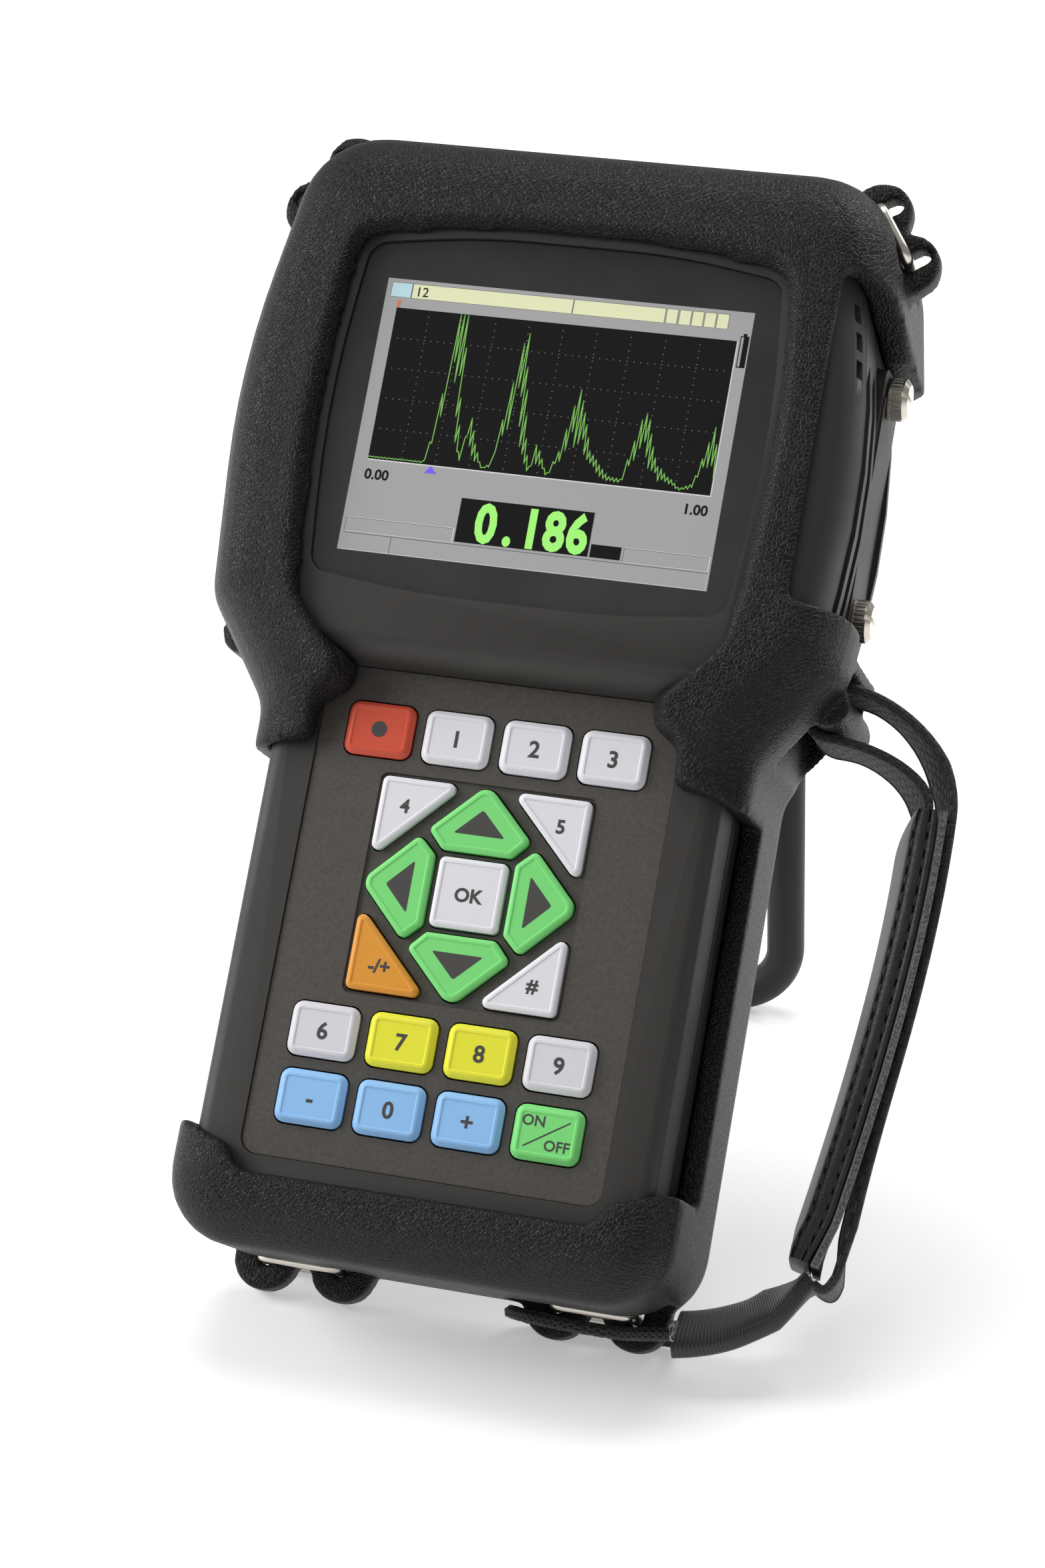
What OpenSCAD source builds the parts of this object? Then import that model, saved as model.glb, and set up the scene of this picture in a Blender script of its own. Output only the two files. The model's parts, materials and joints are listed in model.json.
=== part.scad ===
// Hand-held ultrasonic thickness gauge in a rubber boot, leaning back on its stand.
// Pieces are drawn in the gauge's own frame: x to the right, y up the face, z out of the face,
// with the middle of the display at the origin. on_table() then leans the whole gauge back.

/* [Stance] */
// Angle that the face leans back from upright
lean = 37; // [30:1:44]
// Angle that the open stand makes with the back
stand_open = 43; // [38:1:55]

/* [Case] */
// Half width of the case beside the display
case_half_w = 62.6; // [60:0.2:66]
// Half width of the case beside the keypad
grip_half_w = 46; // [44:0.5:48]
// Top end of the case above the middle of the display
case_top = 53.5; // [50:0.5:58]
// Bottom end of the case below the middle of the display
case_bottom = 158.3; // [156:0.1:166]
// Depth of the case behind the display plane
case_depth = 44.6; // [42:0.2:50]
// Height of the bezel above the display plane
bezel_h = 0.8; // [0.4:0.1:1.6]
// Drop from the display plane to the keypad deck
deck_drop = 6.4; // [5:0.1:8]
// Depth of the joint between the two halves of the case
split_depth = 20; // [18:0.5:23]
// Wall of the case
case_wall = 4.5; // [3.5:0.1:5.5]
// Height of the seal between the case halves
seal_h = 0.8; // [0.5:0.1:1.4]

/* [Display] */
// Thickness of the clear window
window_t = 1.6; // [1.2:0.1:2.2]
// Width of the display module
lcd_w = 82; // [78:1:84]
// Height of the display module
lcd_h = 62; // [58:1:64]
// Thickness of the display module
lcd_t = 5.4; // [4:0.2:7]

/* [Keypad] */
// Half width of the keypad overlay
overlay_half_w = 36.2; // [35:0.1:38]
// Thickness of the keypad overlay
overlay_t = 1.6; // [1.2:0.1:2]
// Width of a row key
key_w = 13.6; // [12:0.1:14.4]
// Share of the keypad's length taken by a row key
key_h_share = 0.1085; // [0.1:0.0005:0.114]
// Distance between row keys
key_pitch = 15.85; // [15.4:0.05:16.2]
// Height of a key above the overlay
key_rise = 1.3; // [0.8:0.1:2]
// Travel of a key
key_travel = 0.8; // [0.4:0.1:1]
// Share of the keypad's length taken by the square recess round the arrow keys
cluster_share = 0.4504; // [0.44:0.0002:0.456]
// Gap between neighbouring arrow keys
cluster_gap = 1.3; // [1:0.1:1.8]
// Room between a key and the overlay round it
key_gap = 0.35; // [0.3:0.05:0.5]

/* [Boot] */
// Rubber beside the case
boot_side = 4.2; // [3.6:0.2:6]
// Rubber over the ends of the case
boot_end = 7; // [6:0.2:9]
// Rubber behind the case
boot_back = 5.4; // [4:0.2:8]
// Height of the rubber frame above the display plane
frame_h = 4.7; // [3:0.1:6]
// Room between the rubber and the case
boot_gap = 0.25; // [0.2:0.05:0.4]
// Distance from the case's right-hand side in to the edge of the frame beside the door
side_cut = 8.4; // [7:0.2:9]
// Radius of a ring lug's ears
ear_r = 6.6; // [6:0.1:7.4]
// Thickness of a ring lug
ear_t = 6; // [5:0.2:7]

/* [Rings] */
// Diameter of the ring wire
ring_wire = 2.4; // [2:0.1:2.8]
// Width of a lower ring between the middles of its sides
ring_w = 15.8; // [14:0.2:16.4]
// Width of an upper ring between the middles of its sides
top_ring_w = 12.2; // [11.4:0.2:13]
// Depth of a ring between the middles of its bars
ring_d = 16.6; // [15.6:0.2:17.4]

/* [Side door] */
// Length of the door
door_len = 58; // [56:0.5:60]
// Width of the door
door_w = 18; // [16:0.5:19]
// Thickness of the door
door_t = 2.6; // [2:0.1:3.2]
// Distance from the case's right-hand side in to the face of the door
door_inset = 1.6; // [1:0.2:2.6]
// Distance between the door's two screws
door_screw_pitch = 45.8; // [42:0.2:48]
// Diameter of a door screw's knurled head
screw_head_d = 8.6; // [7.6:0.2:9.4]
// Length of a door screw's knurled head
screw_head_l = 4.3; // [3.5:0.1:5.5]

/* [Stand] */
// Diameter of the stand's bar
stand_bar = 8.4; // [7:0.2:9]
// Half the distance between the middles of the stand's legs
stand_half_w = 34; // [32:0.5:36]
// Place of the stand's hinge above the middle of the display
hinge_y = 30; // [24:1:34]
// Diameter of the stand's hinge pins
hinge_pin = 5; // [4.4:0.1:5.6]

/* [Sockets] */
// Bore of a probe socket
probe_bore = 5; // [4.4:0.1:5.4]
// Depth of a probe socket's bore
probe_depth = 7; // [5:0.5:7.5]
// Length of a socket outside the case
socket_out = 8; // [8:0.5:10]

/* [Strap] */
// Width of the webbing
web_w = 16; // [14:0.5:18]
// Thickness of the webbing
web_t = 1.5; // [1.2:0.1:1.8]
// Width of the padded part
pad_w = 24; // [20:0.5:26]
// Thickness of the padded part
pad_t = 7.4; // [6:0.2:8.4]
// Thickness of the cord
cord_d = 2.6; // [2.2:0.1:2.8]

/* [Hidden] */

// A small overlap for cuts, and the fineness of round pieces
eps = 0.5;
$fn = 48;

// Depths of the stack, from the front to the back
deck_z = -deck_drop;
overlay_z = deck_z - 0.4;
overlay_back = overlay_z - overlay_t;
key_foot = overlay_back - 1.2;
dome_h = 1;
board_t = 1.6;
key_board_z = key_foot - key_travel - 0.3 - dome_h;
inner_z = key_board_z - board_t - 1.6;
front_back = -split_depth + seal_h / 2;
rear_front = -split_depth - seal_h / 2;
case_back = -case_depth;
boot_back_z = -case_depth - boot_back;

// Places on the keypad
overlay_top = -49.7;
overlay_bottom = -case_bottom + 10.9;
overlay_len = overlay_top - overlay_bottom;
row_y = [for (f = [0.1249, 0.7405, 0.8761]) overlay_top - f * overlay_len];
cluster_y = overlay_top - 0.4319 * overlay_len;
key_h = key_h_share * overlay_len;
cluster_w = cluster_share * overlay_len;

// Right-hand corners of an outline, [x, y, radius] from the top down, and their mirror image
function mirrored(half) =
    concat(half, [for (i = [len(half) - 1:-1:0]) [-half[i].x, half[i].y, half[i][2]]]);

case_corners = mirrored([
    [case_half_w - 10.6, case_top, 9],
    [case_half_w + 1.8, 8, 170],
    [case_half_w - 2.2, -32, 8],
    [grip_half_w, -53, 12],
    [grip_half_w, -case_bottom, 10]]);
boot_corners = mirrored([
    [case_half_w - 7.2 + boot_side, case_top + boot_end, 18],
    [case_half_w + 1.6 + boot_side, 8, 170],
    [case_half_w - 2.2 + boot_side, -39, 10],
    [grip_half_w + boot_side + 0.4, -59, 9],
    [grip_half_w + boot_side + 0.7, -case_bottom - boot_end, 13.5]]);
head_corners = mirrored([
    [case_half_w - 10.6, case_top, 9],
    [case_half_w + 1.8, 8, 170],
    [case_half_w - 2.2, -32, 8],
    [grip_half_w - 1, -50.3, 5]]);
window_corners = mirrored([
    [lcd_w / 2 - 21, lcd_h / 2 + 7, 150], [lcd_w / 2 + 1, lcd_h / 2 + 3.8, 4], [lcd_w / 2 + 4.2, 3, 220],
    [lcd_w / 2 + 1, -lcd_h / 2 - 1.8, 4], [lcd_w / 2 - 21, -lcd_h / 2 - 4.4, 150]]);
// The gap in the rubber over the shelf and the keypad: wings above, open sides, and the lip below
face_gap_corners = mirrored([
    [overlay_half_w + 3.8, -24, 3], [overlay_half_w + 4.3, -36.5, 6], [overlay_half_w - 7, -49.3, 4],
    [overlay_half_w - 5.8, -55.2, 3], [overlay_half_w - 0.3, -58.8, 3], [overlay_half_w - 0.2, -66.3, 3],
    [grip_half_w + 1, -68, 3], [grip_half_w + 44, -69, 2], [grip_half_w + 44, -case_bottom + 16.3, 2],
    [grip_half_w + 2, -case_bottom + 15.5, 4], [overlay_half_w + 1.6, -case_bottom + 12.3, 3],
    [overlay_half_w - 1.2, -case_bottom + 7.7, 3]]);

// Height of the rubber's front along the gauge: the frame, the falling wings, and the bottom cup
frame_profile = [[-case_bottom - 11.7, -7], [-case_bottom + 0.3, -3.6], [-case_bottom + 7.3, -2.6],
    [-72, -3.4], [-66, -2.8], [-60, -0.6], [-54, 2.4], [-46, frame_h - 0.5], [-36, frame_h],
    [case_top - 7.5, frame_h], [case_top + 8.5, frame_h - 1]];

function unit(v) = v / norm(v);
function flat(p) = [p.x, p.y];

// Arc that rounds corner q between p and s, in steps + 1 points
function corner_arc(p, q, s, r, steps) =
    let (u = unit(p - q), v = unit(s - q), half = acos(u * v) / 2,
        mid = q + unit(u + v) * r / sin(half), a = q + u * r / tan(half) - mid,
        turn = cross(u, v) > 0 ? -1 : 1, sweep = turn * (180 - 2 * half), from = atan2(a.y, a.x))
    [for (i = [0:steps]) mid + r * [cos(from + sweep * i / steps), sin(from + sweep * i / steps)]];

function rounded(corners, steps = 5) =
    let (n = len(corners))
    [for (i = [0:n - 1]) each corner_arc(flat(corners[(i + n - 1) % n]), flat(corners[i]),
        flat(corners[(i + 1) % n]), corners[i][2], steps)];

// The same corners moved out by d, or in where d is negative, with radii to suit
function grown(corners, d, least = 0.8) =
    let (n = len(corners))
    [for (i = [0:n - 1])
        let (q = flat(corners[i]), e = unit(q - flat(corners[(i + n - 1) % n])),
            f = unit(flat(corners[(i + 1) % n]) - q), a = [-e.y, e.x], b = [-f.y, f.x],
            p = q + d * (a + b) / (1 + a * b), r = corners[i][2] + (cross(e, f) < 0 ? d : -d))
        [p.x, p.y, max(r, least)]];

// Solid through closed rings of equal length; the ends are closed by rungs from side to side
module loft(rings) {
    n = len(rings[0]);
    last = len(rings) - 1;
    polyhedron([for (r = rings) each r], concat(
        [for (k = [0:last - 1], i = [0:n - 1]) each [
            [k * n + i, k * n + (i + 1) % n, (k + 1) * n + i],
            [k * n + (i + 1) % n, (k + 1) * n + (i + 1) % n, (k + 1) * n + i]]],
        [for (i = [0:n / 2 - 2]) each [
            [last * n + i, last * n + i + 1, last * n + n - 1 - i],
            [last * n + i + 1, last * n + n - 2 - i, last * n + n - 1 - i]]],
        [for (i = [0:n / 2 - 2]) each [
            [n - 1 - i, i + 1, i], [n - 1 - i, n - 2 - i, i + 1]]]));
}

// Rings at the heights and growths given as [z, growth]
function level_rings(corners, levels, steps = 5) =
    [for (l = levels) [for (p = rounded(grown(corners, l[1], 2), steps)) [p.x, p.y, l[0]]]];

// Levels of an edge rounded over a width and a height, ending at z
function front_edge(z, w, h, grow = 0) =
    [for (t = [0:22.5:90]) [z - h + h * sin(t), grow - w * (1 - cos(t))]];
function back_edge(z, r, grow = 0) =
    [for (t = [0:22.5:90]) [z + r * (1 - cos(t)), grow - r * (1 - sin(t))]];

// The outside of the case without its recesses, for the case itself and for the room in the boot
module case_front(grow, from) {
    loft(level_rings(case_corners, concat([[from, grow]], front_edge(deck_z + grow, 3, 3, grow))));
    loft(level_rings(head_corners, concat([[from, grow]], front_edge(bezel_h + grow, 6, 12, grow))));
}
module case_rear(grow, to) {
    loft(level_rings(case_corners, concat(back_edge(case_back - grow, 4, grow), [[to, grow]])));
}

// A right prism on an outline
module plate(corners, from, to, grow = 0, steps = 5) {
    translate([0, 0, from]) linear_extrude(to - from) polygon(rounded(grown(corners, grow), steps));
}
module round_box(w, h, r, from, to) {
    translate([0, 0, from]) linear_extrude(to - from) round_rect(w, h, r);
}
// Rounded rectangle with true arcs
module round_rect(w, h, r) {
    square([w - 2 * r, h], center = true);
    square([w, h - 2 * r], center = true);
    for (x = [-1, 1], y = [-1, 1]) translate([x * (w / 2 - r), y * (h / 2 - r)]) circle(r);
}

// The gauge leant back, with the table at height 0 under its two lower lugs
lug_x = grip_half_w - 15.5;
lug_y = -case_bottom - boot_end + 0.5;
lug_back = boot_back_z + 2;
sole = 0.4;
table = cos(lean) * (lug_y - ear_r) + sin(lean) * lug_back + sole;
module on_table() {
    translate([0, 0, -table]) rotate([90 - lean, 0, 0]) children();
}

// Case halves

grille_y = [31.5, 25.8, 20.2];
groove_len = 66;
door_x = case_half_w - door_inset;
module front_housing() {
    color("#3a3937") on_table() resize([0, 0, 0]) difference() {
        case_front(0, front_back);
        // Room behind the display and the keypad
        plate(case_corners, front_back - eps, inner_z, -case_wall);
        // Seats of the window, the display module, the overlay and the keypad board
        plate(window_corners, -window_t, bezel_h + eps, 0.15);
        round_box(lcd_w + 0.6, lcd_h + 0.6, 1, inner_z - eps, -window_t + eps);
        overlay_block(overlay_back, deck_z + eps, 0.15);
        keypad_room(key_board_z - board_t, overlay_back + eps, board_half_w + 0.2, 0.2);
        keypad_room(inner_z - eps, overlay_back, board_half_w - 4, -4);
        // Ridges and sound holes down the right-hand side
        for (z = [-11.5, -17.5]) translate([door_x - 1.6, -groove_len / 2, z])
            cube([20, groove_len, 3.2]);
        for (y = grille_y) translate([case_half_w - 7.4, y - 1.8, -6]) cube([10, 3.6, 2.4]);
    }
}

// The overlay's outline and the hollow under it
module overlay_block(from, to, grow) {
    corners = mirrored([[overlay_half_w, overlay_top, 1.2], [overlay_half_w, overlay_bottom, 3.2]]);
    plate(corners, from, to, grow);
}
board_half_w = overlay_half_w - 4.2;
board_top = overlay_top - 4.3;
board_bottom = overlay_bottom + 4.4;
module keypad_room(from, to, half_w, grow) {
    corners = mirrored([[half_w, board_top + grow, 2], [half_w, board_bottom - grow, 2]]);
    plate(corners, from, to);
}

battery_w = 2 * grip_half_w - 26;
battery_y = [-case_bottom + 17.3, -47];
cover_lip = 4;
module battery_area(from, to, grow) {
    corners = mirrored([[battery_w / 2, battery_y[1], 4], [battery_w / 2, battery_y[0], 4]]);
    plate(corners, from, to, grow);
}
cover_t = 2.6;
case_screw_at = [for (s = [-1, 1]) each [
    [s * (case_half_w - 12.6), case_top - 13.5], [s * (grip_half_w - 8), -case_bottom + 8.3]]];
door_y = -2.5;
door_screw_y = -1;
door_z = -29.5;
door_seat = door_x - door_t;
pocket_len = 36;
pocket_w = 12;
pocket_floor = case_half_w - 16.6;
socket_at = [[-20, probe_bore], [0, probe_bore]];
socket_z = -29;
socket_r = 4.6;
power_x = 22;
module rear_housing() {
    color("#343331") on_table() resize([0, 0, 0]) difference() {
        case_rear(0, rear_front);
        difference() {
            plate(case_corners, case_back + case_wall, rear_front + eps, -case_wall);
            // The walls round the door's pocket stay solid
            translate([pocket_floor - 3, door_y - door_len / 2 - 2, case_back])
                cube([40, door_len + 4, case_depth]);
        }
        battery_area(case_back - eps, case_back + case_wall + eps, 0.4);
        battery_area(case_back - eps, case_back + cover_t, cover_lip + 0.2);
        // Seat of the door, the pocket behind it and the holes for its screws
        door_shape(door_seat, door_x + 10, 0.3);
        translate([pocket_floor, door_y - pocket_len / 2, door_z - pocket_w / 2])
            cube([40, pocket_len, pocket_w]);
        for (s = [-1, 1]) door_screw_place(s)
            cylinder(h = 30, r = shank_r + 0.3, center = true, $fn = 20);
        for (x = [socket_at[0].x, socket_at[1].x, power_x]) translate([x, case_top + eps, socket_z])
            rotate([90, 0, 0]) cylinder(h = case_wall + 2 * eps, r = socket_r + 0.1, $fn = 24);
        for (p = case_screw_at) translate([p.x, p.y, case_back - eps]) {
            cylinder(h = 3 + eps, r = 3.1, $fn = 20);
            cylinder(h = 30, r = 1.7, $fn = 16);
        }
    }
}

module case_seal() {
    color("#101010") on_table() difference() {
        plate(case_corners, rear_front, front_back, -0.9);
        plate(case_corners, rear_front - eps, front_back + eps, -2.6);
        // The seal stops short of the groove beside the door
        translate([door_x - 1.9, -groove_len / 2 - 0.4, rear_front - eps])
            cube([20, groove_len + 0.8, seal_h + 2 * eps]);
    }
}

module case_screws() {
    color("#9a9a98") on_table() for (p = case_screw_at) translate([p.x, p.y, case_back + 0.2])
        difference() {
            union() {
                cylinder(h = 2.8, r = 2.8);
                cylinder(h = 18, r = 1.5);
            }
            translate([0, 0, -eps]) cylinder(h = 1.6 + eps, r = 1.3, $fn = 6);
        }
}

// Display

module display_window() {
    color("#26262a") on_table() plate(window_corners, -window_t, 0);
}
module display_module() {
    color("#b6b7b4") on_table() {
        round_box(lcd_w, lcd_h, 1, -window_t - lcd_t, -window_t);
    }
}

// Electronics and battery

module main_board() {
    color("#1d5a38") on_table() difference() {
        plate(case_corners, inner_z - board_t, inner_z, -case_wall - 0.6);
        // The board clears the pocket behind the door
        translate([pocket_floor - 4, door_y - door_len / 2 - 3, inner_z - board_t - eps])
            cube([40, door_len + 6, board_t + 2 * eps]);
    }
}
beeper_at = [30, 34];
module beeper() {
    color("#1a1a1a") on_table() translate([beeper_at.x, beeper_at.y, inner_z - board_t - 3.6])
        difference() {
            cylinder(h = 3.6, r = 6);
            translate([0, 0, -eps]) cylinder(h = 2, r = 1.2);
        }
}
module battery_pack() {
    color("#2f4a78") on_table()
        battery_area(case_back + cover_t, inner_z - board_t - 0.4, -0.8);
}
module battery_cover() {
    color("#343331") on_table() difference() {
        union() {
            battery_area(case_back, case_back + cover_t, cover_lip);
            // Ribs that a thumb finds at the lower end
            for (i = [0:4]) translate([-14, battery_y[0] + 6 + 3 * i, case_back - 0.6])
                cube([28, 1.2, 1]);
        }
        for (p = cover_screw_at) translate([p.x, p.y, case_back - 2])
            cylinder(h = 8, r = cover_screw_r + 0.15);
    }
}
cover_screw_r = 2.2;
cover_screw_at = [for (x = [-1, 1], y = battery_y) [x * (battery_w / 2 - 7), y]];
module battery_screws() {
    color("#a5a5a3") on_table() for (p = cover_screw_at) translate([p.x, p.y, case_back - 0.4])
        difference() {
            cylinder(h = cover_t, r = cover_screw_r);
            translate([-5, -0.4, -eps]) cube([10, 0.8, 0.8 + eps]);
        }
}

// Keypad

module keypad_overlay() {
    color("#474340") on_table() difference() {
        overlay_block(overlay_back, overlay_z, 0);
        // The sunken field round the arrow keys
        translate([0, cluster_y, overlay_z - 0.6]) linear_extrude(5)
            round_rect(cluster_w, cluster_w, 1.6);
        for (k = row_keys) translate([k[1].x, k[1].y, overlay_back - eps])
            linear_extrude(overlay_t + 2 * eps)
                round_rect(key_w + 2 * key_gap, key_h + 2 * key_gap, 2 + key_gap);
        for (k = cluster_keys) translate([0, cluster_y, overlay_back - eps])
            linear_extrude(overlay_t + 2 * eps) cluster_outline(k, key_gap);
    }
}
module keypad_board() {
    color("#1d5a38") on_table() {
        keypad_room(key_board_z - board_t, key_board_z, board_half_w, 0);
        // A snap dome under each key
        for (k = row_keys) translate([k[1].x, k[1].y, key_board_z]) cylinder(h = dome_h, r = 2.4);
        for (k = cluster_keys) translate([0, cluster_y, key_board_z]) translate(cluster_middle(k))
            cylinder(h = dome_h, r = 2.2);
    }
}

// Row keys: name, place and colour
white = "#e8e7ec";
function key_at(col, row) = [(col - 1.5) * key_pitch, row_y[row]];
row_keys = [
    ["key_measure", key_at(0, 0), "#d2553f"], ["key_number", key_at(1, 0), white],
    ["key_file", key_at(2, 0), white], ["key_second", key_at(3, 0), white],
    ["key_probe", key_at(0, 1), "#d9d8de"], ["key_velocity", key_at(1, 1), "#ece42c"],
    ["key_zero", key_at(2, 1), "#ece42c"], ["key_setup", key_at(3, 1), "#d9d8de"],
    ["key_screen", key_at(0, 2), "#8fc3f5"], ["key_range", key_at(1, 2), "#8fc3f5"],
    ["key_zoom", key_at(2, 2), "#8fc3f5"], ["key_power", key_at(3, 2), "#6fdc74"]];
key_slope = 0.9;
module row_key(k) {
    corners = mirrored([[key_w / 2, key_h / 2, 2], [key_w / 2, -key_h / 2, 2]]);
    color(k[2]) on_table() translate([k[1].x, k[1].y, 0]) hull() {
        plate(corners, key_foot, overlay_z + 0.3, 0, 4);
        plate(corners, overlay_z + key_rise - 0.1, overlay_z + key_rise, -key_slope, 4);
    }
}

// Arrow keys and their neighbours: name, shape, turn and colour
cluster_keys = [
    ["key_save", "corner", 0, white], ["key_freeze", "corner", -90, white],
    ["key_wave", "corner", 180, white], ["key_gain", "corner", 90, "#e39b35"],
    ["key_up", "arrow", 0, "#7fdc7c"], ["key_right", "arrow", -90, "#7fdc7c"],
    ["key_down", "arrow", 180, "#7fdc7c"], ["key_left", "arrow", 90, "#7fdc7c"],
    ["key_enter", "middle", 0, white]];
cluster_half = cluster_w / 2 - 0.8;
enter_half = cluster_w * 0.157;
arrow_in = enter_half + cluster_gap;
arrow_wide = arrow_in + cluster_w * 0.048;
arrow_foot = arrow_wide - cluster_w * 0.077;
arrow_rise = cluster_w * 0.082;
corner_leg = cluster_w * 0.373;
// Outline of a key, drawn for the key above the middle and turned to its place
module cluster_outline(k, grow) {
    rotate(k[2]) polygon(rounded(grown(cluster_corners(k[1]), grow), 4));
}
function cluster_corners(shape) =
    shape == "middle" ? mirrored([[enter_half, enter_half, 1.2], [enter_half, -enter_half, 1.2]])
    : shape == "arrow" ? mirrored([[1.1, cluster_half - 0.3, 2.4],
        [arrow_wide, arrow_in + arrow_rise, 1.2], [arrow_foot, arrow_in, 1.2]])
    : [[-cluster_half, cluster_half, 1.2], [-cluster_half + corner_leg, cluster_half, 1.2],
        [-cluster_half, cluster_half - corner_leg, 1.2]];
function turned(p, a) = [p.x * cos(a) - p.y * sin(a), p.x * sin(a) + p.y * cos(a)];
function cluster_middle(k) = turned(
    k[1] == "middle" ? [0, 0]
    : k[1] == "arrow" ? [0, arrow_in + cluster_w * 0.105]
    : [-cluster_half + corner_leg * 0.32, cluster_half - corner_leg * 0.32], k[2]);
module cluster_key(k) {
    top = overlay_z + key_rise - 0.3;
    color(k[3]) on_table() translate([0, cluster_y, 0]) hull() {
        translate([0, 0, key_foot]) linear_extrude(top - 0.5 - key_foot) cluster_outline(k, 0);
        translate([0, 0, top - 0.1]) linear_extrude(0.1) cluster_outline(k, -0.5);
    }
}

// Door on the right-hand side, its screws and the sockets behind it

module door_shape(from, to, grow) {
    translate([from, door_y, door_z]) rotate([90, 0, 90]) linear_extrude(to - from)
        round_rect(door_len + 2 * grow, door_w + 2 * grow, 3 + grow);
}
shank_r = 1.75;
module door_screw_place(side) {
    translate([door_x, door_screw_y + side * door_screw_pitch / 2, door_z + 2]) rotate([0, 90, 0])
        children();
}
module side_door() {
    color("#4a4a4a") on_table() difference() {
        union() {
            door_shape(door_seat + 0.1, door_x, 0);
            // A raised rib along the front edge
            translate([door_x - eps, door_y - door_len / 2 + 6, door_z + door_w / 2 - 2.2])
                cube([eps + 0.5, door_len - 12, 1.2]);
        }
        for (s = [-1, 1]) door_screw_place(s) cylinder(h = 20, r = shank_r + 0.25, center = true);
    }
}
module side_sockets() {
    color("#6c6c70") on_table() translate([pocket_floor, door_y, door_z]) {
        // A small round-cornered data socket and a card slot on one carrier
        translate([0, -pocket_len / 2 + 0.4, -pocket_w / 2 + 0.4])
            cube([1.6, pocket_len - 0.8, pocket_w - 0.8]);
        difference() {
            translate([1.6, 2, -2.5]) cube([6, 9, 5]);
            translate([3, 3, -1.6]) cube([6, 7, 3.2]);
        }
        difference() {
            translate([1.6, -14, -2]) cube([7, 13, 4]);
            translate([3, -13, -0.6]) cube([7, 11, 1.2]);
        }
    }
}
knurls = 28;
module door_screw(side) {
    r = screw_head_d / 2;
    color("#b9b7b2") on_table() door_screw_place(side) difference() {
        rotate_extrude() polygon([[0, -8], [shank_r - 0.4, -8], [shank_r, -7.6], [shank_r, 0.2],
            [r - 0.3, 0.2], [r, 0.5], [r, screw_head_l - 0.9], [r - 1.1, screw_head_l], [0, screw_head_l]]);
        for (i = [0:knurls - 1]) rotate(i * 360 / knurls) translate([r + 0.12, 0, 0.9])
            cylinder(h = screw_head_l - 2.2, r = 0.36);
        translate([-r - 1, -0.45, screw_head_l - 1.1]) cube([2 * r + 2, 0.9, 2]);
    }
}

// Sockets on the top end

module end_socket(x, bore, depth) {
    translate([x, case_top, socket_z]) rotate([-90, 0, 0]) rotate_extrude()
        polygon([[0, -case_wall - 2], [socket_r, -case_wall - 2], [socket_r, 0], [socket_r + 1.6, 0],
            [socket_r + 1.6, 1.2], [socket_r - 0.4, 1.2], [socket_r - 0.4, socket_out - 0.5],
            [socket_r - 0.9, socket_out], [bore / 2, socket_out], [bore / 2, socket_out - depth],
            [0, socket_out - depth]]);
}
module probe_socket_left() {
    color("#c2bfb6") on_table() end_socket(socket_at[0].x, probe_bore, probe_depth);
}
module probe_socket_right() {
    color("#c2bfb6") on_table() end_socket(socket_at[1].x, probe_bore, probe_depth);
}
module power_socket() {
    color("#1c1c1c") on_table() end_socket(power_x, probe_bore + 0.6, probe_depth);
}

// Rubber boot

// One ring of the boot's outside, w from 0 at the start of the front rounding to 1 at the front
edge_start = -13;
function boot_ring(grow, w) =
    [for (p = rounded(grown(boot_corners, grow, 4), 6))
        [p.x, p.y, edge_start + (lookup(p.y, frame_profile) - edge_start) * w]];
module boot_block() {
    edge_w = 13;
    back_r = 7;
    loft(concat(
        [for (l = back_edge(boot_back_z, back_r))
            [for (p = rounded(grown(boot_corners, l[1], 4), 6)) [p.x, p.y, l[0]]]],
        [for (t = [0:15:75]) boot_ring(-edge_w * (1 - cos(t)), 0.96 * sin(t))],
        [boot_ring(-edge_w, 0.96), boot_ring(-edge_w - 5, 1)]));
}
// A lug for a wire ring: two rounded ears on a root that runs into the rubber, pointing along -y
lug_half = ring_w / 2 + 0.3;
top_lug_half = top_ring_w / 2 + 0.1;
module ring_lug(half, r, root) {
    for (s = [-1, 1]) translate([s * half, 0, 0]) cylinder(h = ear_t, r = r, $fn = 32);
    translate([-half - r, 0, 0]) cube([2 * (half + r), root, ear_t]);
}
// Slots for the ring's sides, longer on the side that the ring swings to and open behind the lug
ring_slot = ring_wire + 0.8;
slot_room = 3;
slot_behind = 5;
module ring_slots(w, swing) {
    for (s = [-1, 1])
        translate([s * w / 2 - ring_slot / 2, min(0, swing * slot_room) - ring_slot / 2, -slot_behind])
            cube([ring_slot, ring_slot + slot_room, slot_behind + ear_t + eps]);
}
// A hollow in the rubber for a ring's bar, from one face of its lug
module ring_hollow(half, depth, from, height) {
    translate([-half - 0.7, -10, min(from, from + height)])
        cube([2 * half + 1.4, 10 + depth, abs(height)]);
}
top_lug = [case_half_w - 3.7, case_top - 1.5];
top_lug_turn = 125;
top_lug_z = -23;
top_ear_r = ear_r - 0.4;
module at_lug(is_top, side) {
    if (is_top) mirror([side < 0 ? 1 : 0, 0, 0])
        translate([top_lug.x, top_lug.y, top_lug_z]) rotate(top_lug_turn) children();
    else translate([side * lug_x, lug_y, lug_back]) children();
}
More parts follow.
